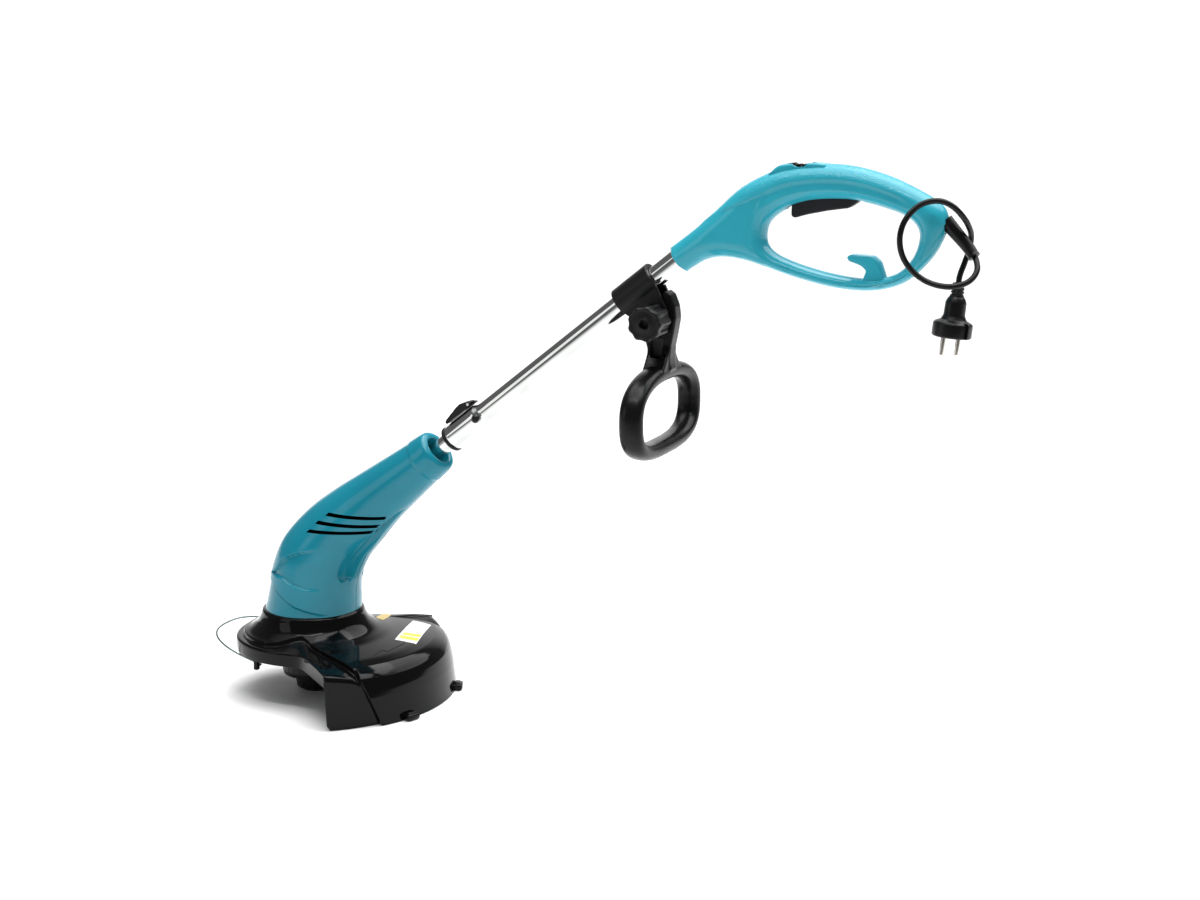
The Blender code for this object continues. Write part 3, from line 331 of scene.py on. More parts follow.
def refined(node, finish, edge=0.0, voxel=0.0):
    """A CAD node's own shape with its edges rounded, by bevels or by a fine remesh."""
    form = form_of(frame["nodes"][node].data)
    bmesh.ops.remove_doubles(form, verts=form.verts, dist=2e-6)
    bmesh.ops.dissolve_limit(form, angle_limit=math.radians(1.0), verts=form.verts, edges=form.edges)
    obj = piece(f"{node}_fine", made_mesh(f"{node}_fine", form), finish, node, 50)
    if voxel:
        soften(obj, voxel, 4)
        return
    bevel = obj.modifiers.new("edges", "BEVEL")
    bevel.width = edge
    bevel.segments = 3
    bevel.limit_method = "ANGLE"
    bevel.angle_limit = math.radians(32)


# Materials -----


class Nodes:
    """A small helper that adds and links the shader nodes of a material or a world."""

    def __init__(self, owner, place):
        owner.use_nodes = True
        self.owner = owner
        self.tree = owner.node_tree
        self.shader = self.tree.nodes.get("Principled BSDF")
        self.place = self.add("TexCoord", {}).outputs[place]

    def link(self, source, target):
        self.tree.links.new(source, target)

    def add(self, kind, values):
        """A new node; each of its inputs named in values gets a number, or a link from a socket."""
        node = self.tree.nodes.new(f"ShaderNode{kind}")
        for name, value in values.items():
            if isinstance(value, bpy.types.NodeSocket):
                self.link(value, node.inputs[name])
            else:
                node.inputs[name].default_value = value
        return node

    def noise(self, scale, detail=3.0, stretch=None):
        place = self.place
        if stretch:
            values = {"Vector": place, "Rotation": stretch[0], "Scale": stretch[1]}
            place = self.add("Mapping", values).outputs["Vector"]
        return self.add("TexNoise", {"Vector": place, "Scale": scale, "Detail": detail}).outputs["Fac"]

    def ranged(self, value, low, high, from_low=0.3, from_high=0.7):
        values = {"Value": value, "From Min": from_low, "From Max": from_high, "To Min": low, "To Max": high}
        return self.add("MapRange", values).outputs["Result"]

    def maths(self, operation, *terms):
        node = self.add("Math", dict(enumerate(terms)))
        node.operation = operation
        return node.outputs["Value"]

    def towards(self, direction):
        """How far a place lies in a direction."""
        node = self.add("VectorMath", {0: self.place, 1: direction})
        node.operation = "DOT_PRODUCT"
        return node.outputs["Value"]

    def tinted(self, value, dark, light):
        node = self.add("Mix", {})
        node.data_type = "RGBA"
        node.inputs["A"].default_value = (*dark, 1)
        node.inputs["B"].default_value = (*light, 1)
        self.link(value, node.inputs["Factor"])
        self.link(node.outputs["Result"], self.shader.inputs["Base Color"])

    def bumped(self, value, strength, distance, under=None):
        values = {"Height": value, "Strength": strength, "Distance": distance}
        if under:
            values["Normal"] = under
        return self.add("Bump", values).outputs["Normal"]


def material_nodes(name):
    return Nodes(bpy.data.materials.new(name), "Object")


def shade(colour, factor):
    return tuple(min(1.0, c * factor) for c in colour)


def moulded(name, colour, rough, grain, grain_depth, variation, gloss=0.5, stippled=False):
    """Moulded plastic or rubber: faint mottling, uneven gloss, long-wave sink and a fine grain."""
    made = material_nodes(name)
    made.shader.inputs["Specular IOR Level"].default_value = gloss
    made.tinted(made.ranged(made.noise(26.0), 0.0, 1.0), shade(colour, 1 - variation), shade(colour, 1 + variation))
    made.link(made.ranged(made.noise(70.0, 4.0), rough * 0.85, rough * 1.2), made.shader.inputs["Roughness"])
    sink = made.bumped(made.noise(22.0, 1.0), 0.12, 0.0006)
    skin = made.bumped(made.noise(grain, 2.0), grain_depth, 0.00008, sink)
    if stippled:
        mark = made.add("Attribute", {})
        mark.attribute_name = "stipple"
        pits = made.add("TexVoronoi", {"Vector": made.place, "Scale": 620.0})
        depth = made.maths("MULTIPLY", made.ranged(pits.outputs["Distance"], 1.0, 0.0, 0.1, 0.6), mark.outputs["Fac"])
        skin = made.bumped(depth, 0.55, 0.00035, skin)
    made.link(skin, made.shader.inputs["Normal"])
    return made.owner


def metal(name, colour, rough, stretch, depth=0.05):
    """Drawn or ground metal: streaks along one direction and slightly uneven polish."""
    made = material_nodes(name)
    made.shader.inputs["Metallic"].default_value = 1.0
    streaks = made.noise(300.0, 3.0, stretch)
    made.tinted(made.ranged(made.noise(40.0), 0.0, 1.0), shade(colour, 0.93), shade(colour, 1.05))
    made.link(made.ranged(streaks, rough * 0.7, rough * 1.4), made.shader.inputs["Roughness"])
    made.link(made.bumped(streaks, depth, 0.00002), made.shader.inputs["Normal"])
    return made.owner


ALL_ROUND = ((0, 0, 0), (1, 1, 1))
TUBE_GRAIN = ((0, math.atan2(TUBE_DIR.z, TUBE_DIR.x), 0), (0.02, 1, 1))

teal_head = moulded("teal_head", (0.008, 0.2, 0.275), 0.14, 1500.0, 0.04, 0.06, 0.29)
teal_handle = moulded("teal_handle", (0.026, 0.35, 0.45), 0.17, 1500.0, 0.06, 0.05, 0.36, True)
gloss_black = moulded("gloss_black", (0.0026, 0.0026, 0.0029), 0.075, 1700.0, 0.03, 0.1, 0.15)
satin_black = moulded("satin_black", (0.0065, 0.0065, 0.0072), 0.38, 2600.0, 0.35, 0.1, 0.2)
grip_black = moulded("grip_black", (0.0045, 0.0045, 0.0045), 0.27, 1900.0, 0.16, 0.12, 0.17)
trigger_black = moulded("trigger_black", (0.0105, 0.011, 0.014), 0.45, 2200.0, 0.4, 0.1, 0.22)
rubber_black = moulded("rubber_black", (0.004, 0.004, 0.0042), 0.3, 1300.0, 0.12, 0.12, 0.24)
# Painted shade: a near-black matt finish for the vents' cut walls and floors, standing in for the shade inside the
# head.
vent_shade_black = moulded("vent_shade_black", (0.0012, 0.0012, 0.0013), 0.8, 900.0, 0.1, 0.1, 0.05)
nylon = moulded("nylon", (0.62, 0.58, 0.4), 0.32, 1200.0, 0.1, 0.08)
carbon = moulded("carbon", (0.022, 0.022, 0.023), 0.65, 2200.0, 0.4, 0.15)
label_white = moulded("label_white", (0.8, 0.8, 0.78), 0.4, 1800.0, 0.05, 0.03)
label_yellow = moulded("label_yellow", (0.8, 0.66, 0.05), 0.4, 1800.0, 0.05, 0.04)
label_ochre = moulded("label_ochre", (0.52, 0.38, 0.11), 0.4, 1800.0, 0.05, 0.05)
chrome = metal("chrome", (0.6, 0.61, 0.6), 0.055, TUBE_GRAIN)
spring_steel = metal("spring_steel", (0.2, 0.25, 0.25), 0.24, ALL_ROUND)
steel = metal("steel", (0.56, 0.56, 0.55), 0.28, ALL_ROUND, 0.15)
bright_pin = metal("bright_pin", (0.75, 0.72, 0.66), 0.16, ALL_ROUND)
copper = metal("copper", (0.6, 0.24, 0.1), 0.38, ALL_ROUND, 0.3)
brass = metal("brass", (0.7, 0.52, 0.22), 0.3, ALL_ROUND, 0.15)

SLOT_FINISH = {
    "teal_plastic": teal_head,
    "black_gloss": gloss_black,
    "black_satin": satin_black,
    "black_rubber": rubber_black,
    "chrome_tube": chrome,
    "steel": steel,
    "copper": copper,
    "brass": brass,
    "carbon": carbon,
    "nylon_line": nylon,
}
for cad_node, cad_slot in SLOT_OF.items():
    cad_materials = frame["nodes"][cad_node].data.materials
    cad_materials.clear()
    cad_materials.append(SLOT_FINISH[cad_slot])

# Lead -----

LEAD_RADIUS = 0.00275
LEAD_ROUTE = (
    (0.684, 0.0, 0.5465), (0.6925, 0.0, 0.5373), (0.7015, 0.0, 0.5275), (0.7105, -0.0003, 0.5177),
    (0.7185, -0.0032, 0.508), (0.722, -0.011, 0.498), (0.718, -0.0205, 0.4895), (0.708, -0.0285, 0.485),
    (0.6955, -0.0315, 0.4845), (0.6825, -0.032, 0.4875), (0.671, -0.0325, 0.494), (0.662, -0.0345, 0.504),
    (0.657, -0.037, 0.516), (0.656, -0.038, 0.5295), (0.659, -0.035, 0.5425), (0.666, -0.0295, 0.553),
    (0.676, -0.0255, 0.5595), (0.689, -0.0235, 0.561), (0.7, -0.02, 0.556), (0.708, -0.0125, 0.546),
    (0.711, -0.0025, 0.537), (0.7112, 0.008, 0.5275), (0.7092, 0.0122, 0.515), (0.7055, 0.0105, 0.502),
    (0.702, 0.0078, 0.4895), (0.701, 0.0065, 0.477),
)


def lengths_along(points):
    """The distance along a path at each of its points."""
    return [0.0, *np.cumsum([(b - a).length for a, b in zip(points[:-1], points[1:])]).tolist()]


lead_route = curved(LEAD_ROUTE, per_span=8)
lead_data = bpy.data.curves.new("lead", "CURVE")
lead_data.dimensions = "3D"
lead_data.bevel_depth = LEAD_RADIUS
lead_data.bevel_resolution = 8
lead_data.use_fill_caps = True
add_spline(lead_data, lead_route)
lead_data.materials.append(rubber_black)
lead = placed("lead", lead_data)
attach(lead, "upper")
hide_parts("cord")

# Plug, in its own frame: Z runs down from the lead's end to the pins.
PLUG_TOP = Vector((0.7016, 0.007, 0.4835))
PLUG_DIR = Vector((-0.0904, -0.0603, -0.994)).normalized()
PIN_SIDE = Vector((0.551, 0.819, -0.0998)).normalized()
ACROSS = PLUG_DIR.cross(PIN_SIDE)
PLUG = Matrix.Translation(PLUG_TOP) @ Matrix((PIN_SIDE, ACROSS, PLUG_DIR)).transposed().to_4x4()


def build_plug():
    """A moulded two-pin plug: ribbed neck, waisted body and a notched round flange."""
    profile = [(0.0, 0.051), (0.0175, 0.051), (0.0186, 0.0498), (0.0186, 0.0382), (0.0172, 0.0366),
               (0.0122, 0.0344), (0.0102, 0.0305), (0.0098, 0.018), (0.008, 0.0142)]
    for k in range(4):
        z = 0.0125 - 0.0032 * k
        profile += [(0.0066 - 0.0002 * k, z), (0.0066 - 0.0002 * k, z - 0.0014), (0.0054, z - 0.0016),
                    (0.0054, z - 0.003)]
    profile += [(0.0052, 0.0002), (0.0034, 0.0), (0.0031, 0.004)]
    body = lathe("plug_moulding", profile, PLUG, steps=64, reach=0.0007)
    obj = piece("plug_moulding", body, rubber_black, "plug_body", 40)
    notches = [block((-0.0026, y - 0.003, 0.034), (0.0026, y + 0.003, 0.06), 0.0006, PLUG) for y in (-0.0185, 0.0185)]
    carve(obj, *notches, sharp=40)
    for side, label in ((-1, "a"), (1, "b")):
        profile = [(0.0, 0.0703), (0.0012, 0.0703), (0.0024, 0.068), (0.0024, 0.051), (0.0, 0.051)]
        at = PLUG @ Matrix.Translation((side * 0.0095, 0, 0.0))
        pin = lathe(f"pin_{label}", profile, at, steps=32, reach=0.0008)
        piece(f"pin_{label}", pin, bright_pin, f"plug_pin_{label}")


build_plug()


def build_boot():
    """The tapered sleeve that keeps the lead from kinking where it leaves the handle."""
    fine = curved(LEAD_ROUTE[:5], per_span=24)
    start, end = 0.0065, 0.0505
    path, radii = [], []
    for point, length in zip(fine, lengths_along(fine)):
        if not start <= length <= end:
            continue
        along = (length - start) / (end - start)
        foot = 0.0003 * float(smoothstep(length, end - 0.003, end - 0.001))
        path.append(point)
        radii.append(0.007 - 0.0016 * along + foot)
    path.append(path[-1] + (path[-1] - path[-2]) * 0.3)
    radii.append(radii[-1] - 0.0006)
    piece("lead_boot", sweep("lead_boot", path, radii, 48), rubber_black, "strain_relief", 50)


build_boot()

# Motor head -----

# Rings of the head: centre x, centre z, radius, tilt of the ring in degrees.
HEAD_RINGS = (
    (0.0, 0.094, 0.0545, 0), (0.002, 0.106, 0.053, 2), (0.004, 0.12, 0.0515, 5),
    (0.008, 0.137, 0.05, 13), (0.017, 0.156, 0.0478, 27), (0.038, 0.182, 0.0425, 41),
    (0.063, 0.2045, 0.038, 48), (0.09, 0.2275, 0.0325, 51.6), (0.124, 0.2545, 0.0277, 51.6),
    (0.152, 0.2767, 0.0243, 51.6),
)
# The neck's lip and cup: distance along the tube from the last ring, radius.
HEAD_LIP = ((0.0044, 0.0235), (0.0068, 0.0226), (0.0082, 0.0206), (0.0088, 0.018), (0.0086, 0.0158), (0.0072, 0.0148),
            (0.0, 0.0142), (-0.006, 0.0138), (-0.0068, 0.013), (-0.0068, 0.0098))
# Lines on the head's side as height over x: the panel's upper and lower edge, and the bumper's line.
PANEL_TOP = ((-0.034, 0.136), (-0.026, 0.14), (-0.021, 0.1445), (-0.015, 0.153), (-0.005, 0.1595), (0.011, 0.1655),
             (0.028, 0.1685), (0.06, 0.17))
PANEL_LOW = ((-0.034, 0.136), (-0.024, 0.1362), (-0.011, 0.135), (0.0, 0.13), (0.021, 0.125), (0.035, 0.1245),
             (0.06, 0.125))
BUMPER_LINE = ((-0.06, 0.129), (-0.033, 0.127), (-0.021, 0.121), (-0.01, 0.115), (0.007, 0.106), (0.025, 0.1),
               (0.039, 0.0955), (0.06, 0.09))
# The scoop behind: height, outer and inner distance from the seam.
SCOOP = ((0.127, 0.017, 0.015), (0.13, 0.0245, 0.0095), (0.134, 0.028, 0.008), (0.139, 0.031, 0.0078),
         (0.15, 0.0315, 0.0085), (0.157, 0.0305, 0.009), (0.169, 0.0272, 0.009), (0.182, 0.0232, 0.0095),
         (0.188, 0.0212, 0.0092), (0.205, 0.016, 0.008), (0.218, 0.012, 0.007))
# Each vent's ends on the side: x and z.
VENTS = (((0.0405, 0.2086), (0.104, 0.2066)), ((0.0285, 0.199), (0.096, 0.1972)), ((0.0185, 0.1888), (0.0895, 0.1906)))


def over(values, table, column=1):
    return np.interp(values, [row[0] for row in table], [row[column] for row in table])


def head_relief(points, along):
    """How far the head's surface is pushed in at each point; along is the distance up the neck's collar."""
    x, y, z = points[..., 0], np.abs(points[..., 1]), points[..., 2]
    on_flank = smoothstep(y, 0.02, 0.026)
    panel = smoothstep(z, over(x, PANEL_LOW) - 0.001, over(x, PANEL_LOW) + 0.001)
    panel = panel * fading(z, over(x, PANEL_TOP) - 0.0008, over(x, PANEL_TOP) + 0.0008)
    panel = panel * fading(x, 0.004, 0.04) * on_flank
    line = over(x, BUMPER_LINE)
    bumper = fading(z, line - 0.0007, line + 0.0007) * fading(x, 0.025, 0.04)
    crease = bell(z, line, 0.0007) * fading(x, 0.03, 0.042)
    outer, inner = over(z, SCOOP), over(z, SCOOP, 2)
    facing_back = (x > np.interp(z, (0.09, 0.13, 0.16, 0.2, 0.24), (0.02, 0.025, 0.045, 0.085, 0.125))).astype(float)
    wall = fading(y, outer - 0.0016, outer)
    floor = smoothstep(y, inner - 0.001, inner + 0.55 * (outer - inner))
    ends = smoothstep(z, 0.1285, 0.133) * fading(z, 0.195, 0.218)
    scoop = wall * floor * ends * facing_back
    band = fading(along, -0.0128, -0.012)
    return 0.0034 * panel + 0.0016 * bumper + 0.0009 * crease + 0.0055 * scoop + 0.0009 * band


def head_half(side, label):
    """One half of the head, closed at the seam, with the vents cut in."""
    rings = [tuple(r) for r in curved(HEAD_RINGS, per_span=26)]
    x, z, _, tilt = HEAD_RINGS[-1]
    lean = math.radians(tilt)
    ramp = [Vector((0.0, HEAD_RINGS[-1][2])), *(Vector(p) for p in HEAD_LIP)]
    lip = rounded(ramp, 0.0008)[1:]
    alongs = [-(Vector(ring[:2]) - Vector((x, z))).length for ring in rings]
    for step in lip:
        rings.append((x + step.x * math.sin(lean), z + step.x * math.cos(lean), step.y, tilt))
        alongs.append(step.x)
    columns = 190
    around = np.linspace(0, math.pi, columns)
    table = np.array(rings)
    cx, cz, radius, tilts = (table[:, i : i + 1] for i in range(4))
    lean = np.radians(tilts)
    across = radius * np.cos(around)
    points = np.stack([cx + across * np.cos(lean), radius * np.sin(around) + 0 * cx, cz - across * np.sin(lean)], -1)
    by_row, by_column = np.gradient(points, axis=0), np.gradient(points, axis=1)
    normal = np.cross(by_column, by_row)
    normal /= np.linalg.norm(normal, axis=-1, keepdims=True) + 1e-12
    from_axis = points - np.concatenate([cx, 0 * cx, cz], 1)[:, None, :]
    flip = np.sign((normal * from_axis).sum(-1, keepdims=True))
    flip[len(rings) - len(lip) :] = 0
    depth = head_relief(points, np.array(alongs)[:, None] + 0 * around)
    from_seam = np.minimum(points[..., 1], 0.004)
    seam_groove = 0.0004 * fading(from_seam, 0.0001, 0.0007)
    points = points - normal * flip * (depth + seam_groove)[..., None]
    points[..., 1] = np.maximum(points[..., 1], 0.00015)
    points[:, [0, -1], 1] = 0.00015
    points[..., 1] *= side
    rows = len(rings)
    faces = grid_faces(rows, columns, capped=True)
    faces.append(tuple([i * columns for i in range(rows)] + [i * columns + columns - 1 for i in reversed(range(rows))]))
    shell = mesh_of(f"head_cover_{label}", points.reshape(-1, 3), faces)
    obj = piece(f"head_cover_{label}", shell, teal_head, f"head_shell_{label}", 40)
    # A second slot holds the painted shade finish for the vents' cut faces.
    obj.data.materials.append(vent_shade_black)
    cutters = []
    for (x1, z1), (x2, z2) in VENTS:
        half = 0.00185
        outline = rounded([(x1 - 0.0012, z1 - half), (x2 - 0.0012, z2 - half), (x2 + 0.0014, z2 + half),
                           (x1 + 0.003, z1 + half)], 0.0006, closed=True)
        prism = [(p.x, side * depth_in, p.y) for depth_in in (0.005, 0.08) for p in outline]
        cutter = mesh_of("vent", prism, grid_faces(2, len(outline), True, capped=True))
        # Painted shade: the vent's cut faces get the near-black finish for the shade inside the head.
        cutter.materials.append(vent_shade_black)
        cutters.append(cutter)
    carve(obj, *cutters, sharp=40)


for side, label in SIDES:
    head_half(side, label)

# Guard -----

DOME = ((0.03, 0.0937), (0.0539, 0.0937), (0.0555, 0.0922), (0.0568, 0.087), (0.061, 0.0785),
        (0.07, 0.0715), (0.086, 0.0675), (0.104, 0.0653), (0.121, 0.0632), (0.134, 0.0603),
        (0.1435, 0.055), (0.1495, 0.046), (0.153, 0.03), (0.156, 0.00025))
SKIRT_R, SKIRT_ANGLE, WING_ANGLE, STEP_ANGLE = 0.156, 55.0, 69.0, 41.0
RIM_R, RIM_TOP_Z, RIM_LOW_Z = 0.085, 0.0648, 0.0495
GUARD_WALL = 0.0025


def dome_height(radius):
    return float(np.interp(radius, [r for r, _ in DOME], [z for _, z in DOME]))


def blended_max(a, b, reach):
    return reach * math.log(math.exp(a / reach) + math.exp(b / reach))


def step_radius(angle):
    """Where the dome steps down to the ledge, angle in degrees from straight back."""
    radians = math.radians(angle)
    wing = 0.0447 / (0.926 * math.sin(radians) - 0.379 * math.cos(radians)) if angle < 120 else 0.0
    front = 0.06 + 0.0157 * min(1.0, max(0.0, (angle - WING_ANGLE) / 34.0))
    return blended_max(wing, front, 0.0035)


def edge_radius(angle):
    """The guard's outer edge in plan."""
    if angle <= SKIRT_ANGLE:
        return SKIRT_R - 0.007
    near, far = Vector((0.0305, 0.0793)), Vector((0.0855, 0.1225))
    ray = Vector((math.cos(math.radians(angle)), math.sin(math.radians(angle))))
    edge = far - near
    wing = (near.x * edge.y - near.y * edge.x) / (ray.x * edge.y - ray.y * edge.x)
    return blended_max(wing, RIM_R - 0.0002, 0.007)


SHOULDER = ((0.134, 0.0603), (0.1388, 0.058), (0.1435, 0.055), (0.147, 0.0511), (0.1495, 0.046), (0.1515, 0.038),
            (0.153, 0.03), (0.1545, 0.015), (0.156, 0.00025))


def outer_section(angle):
    """The section's corners from the dome's edge outwards, as radius and height."""
    if angle < STEP_ANGLE:
        return list(SHOULDER)
    step, edge = step_radius(angle), edge_radius(angle)
    deck = dome_height(step)
    ledge = deck - 0.005
    if angle > SKIRT_ANGLE:
        low = RIM_LOW_Z - 0.003 * min(1.0, max(0.0, (WING_ANGLE - angle) / (WING_ANGLE - SKIRT_ANGLE)))
        brink = min(ledge, RIM_TOP_Z) - 0.004 * (edge - RIM_R) / 0.06
        return [(step, deck), (step + 0.0012, ledge), ((step + edge) / 2, (ledge + brink) / 2),
                (edge - 0.0024, brink), (edge - 0.0006, brink - 0.0007), (edge, brink - 0.0026),
                (edge, low + (brink - low) * 0.55), (edge, low + (brink - low) * 0.25), (edge - 0.0004, low)]
    foot = 0.00025 if angle < SKIRT_ANGLE - 1.0 else 0.0045
    brink = ledge - 0.0035
    reach = min(step + 0.0012, edge - 0.012)
    return [(min(step, reach - 0.001), deck), (reach, ledge), ((reach + edge - 0.008) / 2, (ledge + brink) / 2),
            (edge - 0.008, brink), (edge - 0.004, brink - 0.0018), (edge - 0.0022, brink - 0.006),
            (edge - 0.0015, 0.034), (edge - 0.0008, 0.018), (edge, foot)]


def resampled(points, count):
    """Points at even steps along a path."""
    points = [Vector(p) for p in points]
    lengths = lengths_along(points)
    steps = np.linspace(0, lengths[-1], count)
    return [Vector((np.interp(s, lengths, [p.x for p in points]), np.interp(s, lengths, [p.y for p in points])))
            for s in steps]


INNER_ROWS = 40


def fine_section(angle):
    """The section from the collar to the foot, with rounded corners, blended across the guard's steps."""
    for low, high in ((40.0, 41.2), (54.6, 55.4)):
        if low < angle < high:
            t = float(smoothstep(angle, low, high))
            return [a.lerp(b, t) for a, b in zip(fine_section(low), fine_section(high))]
    outer = outer_section(angle)
    edge = outer[0][0]
    inner = [Vector(p) for p in DOME if p[0] < edge - 0.001]
    bend = min(0.004, edge - inner[-1].x)
    inner.append(Vector((edge - bend * 0.3, dome_height(edge - bend * 0.3))))
    inner.append(Vector((edge, outer[0][1])))
    inner = resampled(rounded(inner, 0.0035, 5), INNER_ROWS)
    return inner[:-1] + rounded([inner[-2], *outer], 0.0016, 4)[1:]


def guard_angles():
    half = list(np.arange(0, 39.5, 1.5)) + list(np.arange(39.6, 42.0, 0.15)) + list(np.arange(42.5, 54.4, 0.75))
    half += [54.5, 54.6, 54.7, 54.8, 54.9, 55.0, 55.1, 55.2, 55.3, 55.4, 55.5] + list(np.arange(56, 70, 0.75))
    half += list(np.arange(70.0, 180.0, 1.5))
    return [-a for a in half[:0:-1]] + half + [180.0]


def on_guard(name, mesh, finish):
    piece(name, mesh, finish, body="motor_head", slot="black_gloss")


def build_guard():
    angles = guard_angles()
    columns = []
    for angle in angles:
        section = fine_section(abs(angle))
        window = max(0.0, 1.0 - abs(abs(angle) - STEP_ANGLE) / 13.5)
        column = []
        for row, (radius, z) in enumerate(section):
            lean = 8.0 * max(0.0, (0.05 - z) / 0.05) if row > INNER_ROWS else 0.0
            turn = math.radians(angle - math.copysign(lean * window, angle))
            column.append((radius * math.cos(turn), radius * math.sin(turn), z))
        columns.append(column)
    rows, count = len(columns[0]), len(columns)
    points = [columns[j][i] for i in range(rows) for j in range(count)]
    faces = [face[::-1] for face in grid_faces(rows, count, True)]
    mesh = bpy.data.meshes.new("guard_cover")
    mesh.from_pydata(points, [], faces)
    obj = piece("guard_cover", mesh, gloss_black, "guard", 60)
    solid = obj.modifiers.new("wall", "SOLIDIFY")
    solid.thickness = GUARD_WALL
    solid.offset = -1.0
    solid.use_even_offset = False
    baked(obj)
    smoothed(obj.data, 60)
    for index, angle in enumerate((-20, 20)):
        turn = Matrix.Rotation(math.radians(angle), 4, "Z")
        pad = block((0.1505, -0.0085, 0.0004), (0.164, 0.0085, 0.0068), 0.0019, turn)
        foot = block((0.1555, -0.0062, 0.004), (0.1615, 0.0062, 0.0082), 0.0014, turn)
        on_guard(f"guard_foot_{index}", merged("foot", pad, foot), gloss_black)


build_guard()


def on_deck(x, y, lift):
    return Vector((x, y, dome_height(Vector((x, y)).length) + lift))


def deck_patch(name, corners, finish, lift, rows=14, columns=22):
    """A thin label that follows the guard's deck between four corners in plan."""
    a, b, c, d = (Vector(corner) for corner in corners)
    points = []
    for layer in (lift, 0.0):
        for i in range(rows):
            for j in range(columns):
                u, v = i / (rows - 1), j / (columns - 1)
                p = a.lerp(b, u).lerp(d.lerp(c, u), v)
                points.append(on_deck(p.x, p.y, 0.00015 + layer))
    top = grid_faces(rows, columns)
    size = rows * columns
    faces = top + [tuple(size + k for k in reversed(f)) for f in top]
    rim = [j for j in range(columns)] + [i * columns + columns - 1 for i in range(1, rows)]
    rim += [(rows - 1) * columns + j for j in reversed(range(columns - 1))]
    rim += [i * columns for i in reversed(range(1, rows - 1))]
    faces += [(rim[k], rim[(k + 1) % len(rim)], size + rim[(k + 1) % len(rim)], size + rim[k]) for k in range(len(rim))]
    on_guard(name, mesh_of(name, points, faces), finish)


deck_patch("label_plain", ((0.083, 0.075), (0.105, 0.077), (0.1245, 0.005), (0.1005, 0.001)), label_white, 0.00015)
deck_patch("label_bar_upper", ((0.0975, 0.0285), (0.1155, 0.0345), (0.118, 0.0255), (0.099, 0.0205)), label_yellow,
           0.00025, 6, 8)
deck_patch("label_bar_lower", ((0.0995, 0.0175), (0.119, 0.0225), (0.1215, 0.0125), (0.1005, 0.0085)), label_yellow,
           0.00025, 6, 8)
deck_patch("label_collar", ((0.05, 0.048), (0.06, 0.048), (0.053, 0.08), (0.044, 0.078)), label_ochre, 0.00015)


def deck_line(name, plan):
    """A fine moulded line on the deck."""
    path = rounded(plan, 0.002, 3)
    fine = [p.lerp(q, k / 6) for p, q in zip(path[:-1], path[1:]) for k in range(6)] + [path[-1]]
    fine = [on_deck(p.x, p.y, 0.0001) for p in fine]
    on_guard(name, sweep(name, fine, [0.0003] * len(fine), 8), gloss_black)


deck_line("deck_line", [(0.104, -0.051), (0.104, -0.034), (0.111, -0.034), (0.114, -0.002)])

# Wire guard -----

WIRE_TILT = math.radians(14)
WIRE_PIVOT = joint_at("wire_guard_fold")


def wire_point(along, y):
    return Vector((WIRE_PIVOT.x - along * math.cos(WIRE_TILT), y, WIRE_PIVOT.z + along * math.sin(WIRE_TILT)))


wire_route = [wire_point(0, -0.0735), wire_point(0, -0.064)]
for i in range(61):
    angle = math.radians(-90 + 3 * i)
    along = 0.0852 * max(0.0, math.cos(angle)) ** 0.8
    wire_route.append(wire_point(along, 0.062 * math.copysign(abs(math.sin(angle)) ** 0.8, angle)))
wire_route += [wire_point(0, 0.064), wire_point(0, 0.0735)]
wire_mesh = sweep("wire_hoop", wire_route, [0.0011] * len(wire_route), 16)
piece("wire_hoop", wire_mesh, spring_steel, "wire_guard", 60)
for side, label in SIDES:
    low = (WIRE_PIVOT.x - 0.0026, side * 0.071 - 0.0028, WIRE_PIVOT.z - 0.003)
    high = (WIRE_PIVOT.x + 0.0026, side * 0.071 + 0.0028, 0.06)
    piece(f"wire_clip_{label}_fine", block(low, high, 0.0012), gloss_black, f"wire_clip_{label}", 60)

# Telescopic tube -----

ALONG_TUBE = facing(NECK, TUBE_DIR)
OUTER_R, INNER_R, SLEEVE_R = 0.011, 0.0092, 0.01375
TUBE_PARTS = (
    ("tube_inner", "inner_tube", chrome, 50, 96, 0.0006,
     ((INNER_R, 0.3), (INNER_R, -0.062), (INNER_R - 0.0012, -0.062), (INNER_R - 0.0012, 0.3))),
    ("tube_outer", "outer_tube", chrome, 50, 96, 0.0012,
     ((OUTER_R, 0.372), (OUTER_R, 0.0672), (SLEEVE_R - 0.0004, 0.0618), (SLEEVE_R, 0.06), (SLEEVE_R, 0.0215),
      (SLEEVE_R - 0.0005, 0.0205), (0.0124, 0.0205), (0.0124, 0.06), (0.0098, 0.066), (0.0098, 0.372))),
    ("tube_bush_ring", "tube_bush", satin_black, 45, 72, 0.0003,
     ((0.0121, 0.042), (0.0121, 0.0202), (0.014, 0.0202), (0.0144, 0.0196), (0.0144, 0.0178), (0.0138, 0.0168),
      (0.0102, 0.0166), (0.0098, 0.0172), (0.0098, 0.042))),
)
for name, node, finish, sharp, steps, reach, profile in TUBE_PARTS:
    piece(name, lathe(name, profile, ALONG_TUBE, steps, reach, True), finish, node, sharp)
for node, edge in (("lever_mount", 0.0004), ("lock_lever", 0.0007), ("tube_stop_screw", 0.0003)):
    refined(node, satin_black, edge)

# Clamp and front handle -----

refined("clamp_bracket", satin_black, voxel=0.0006)

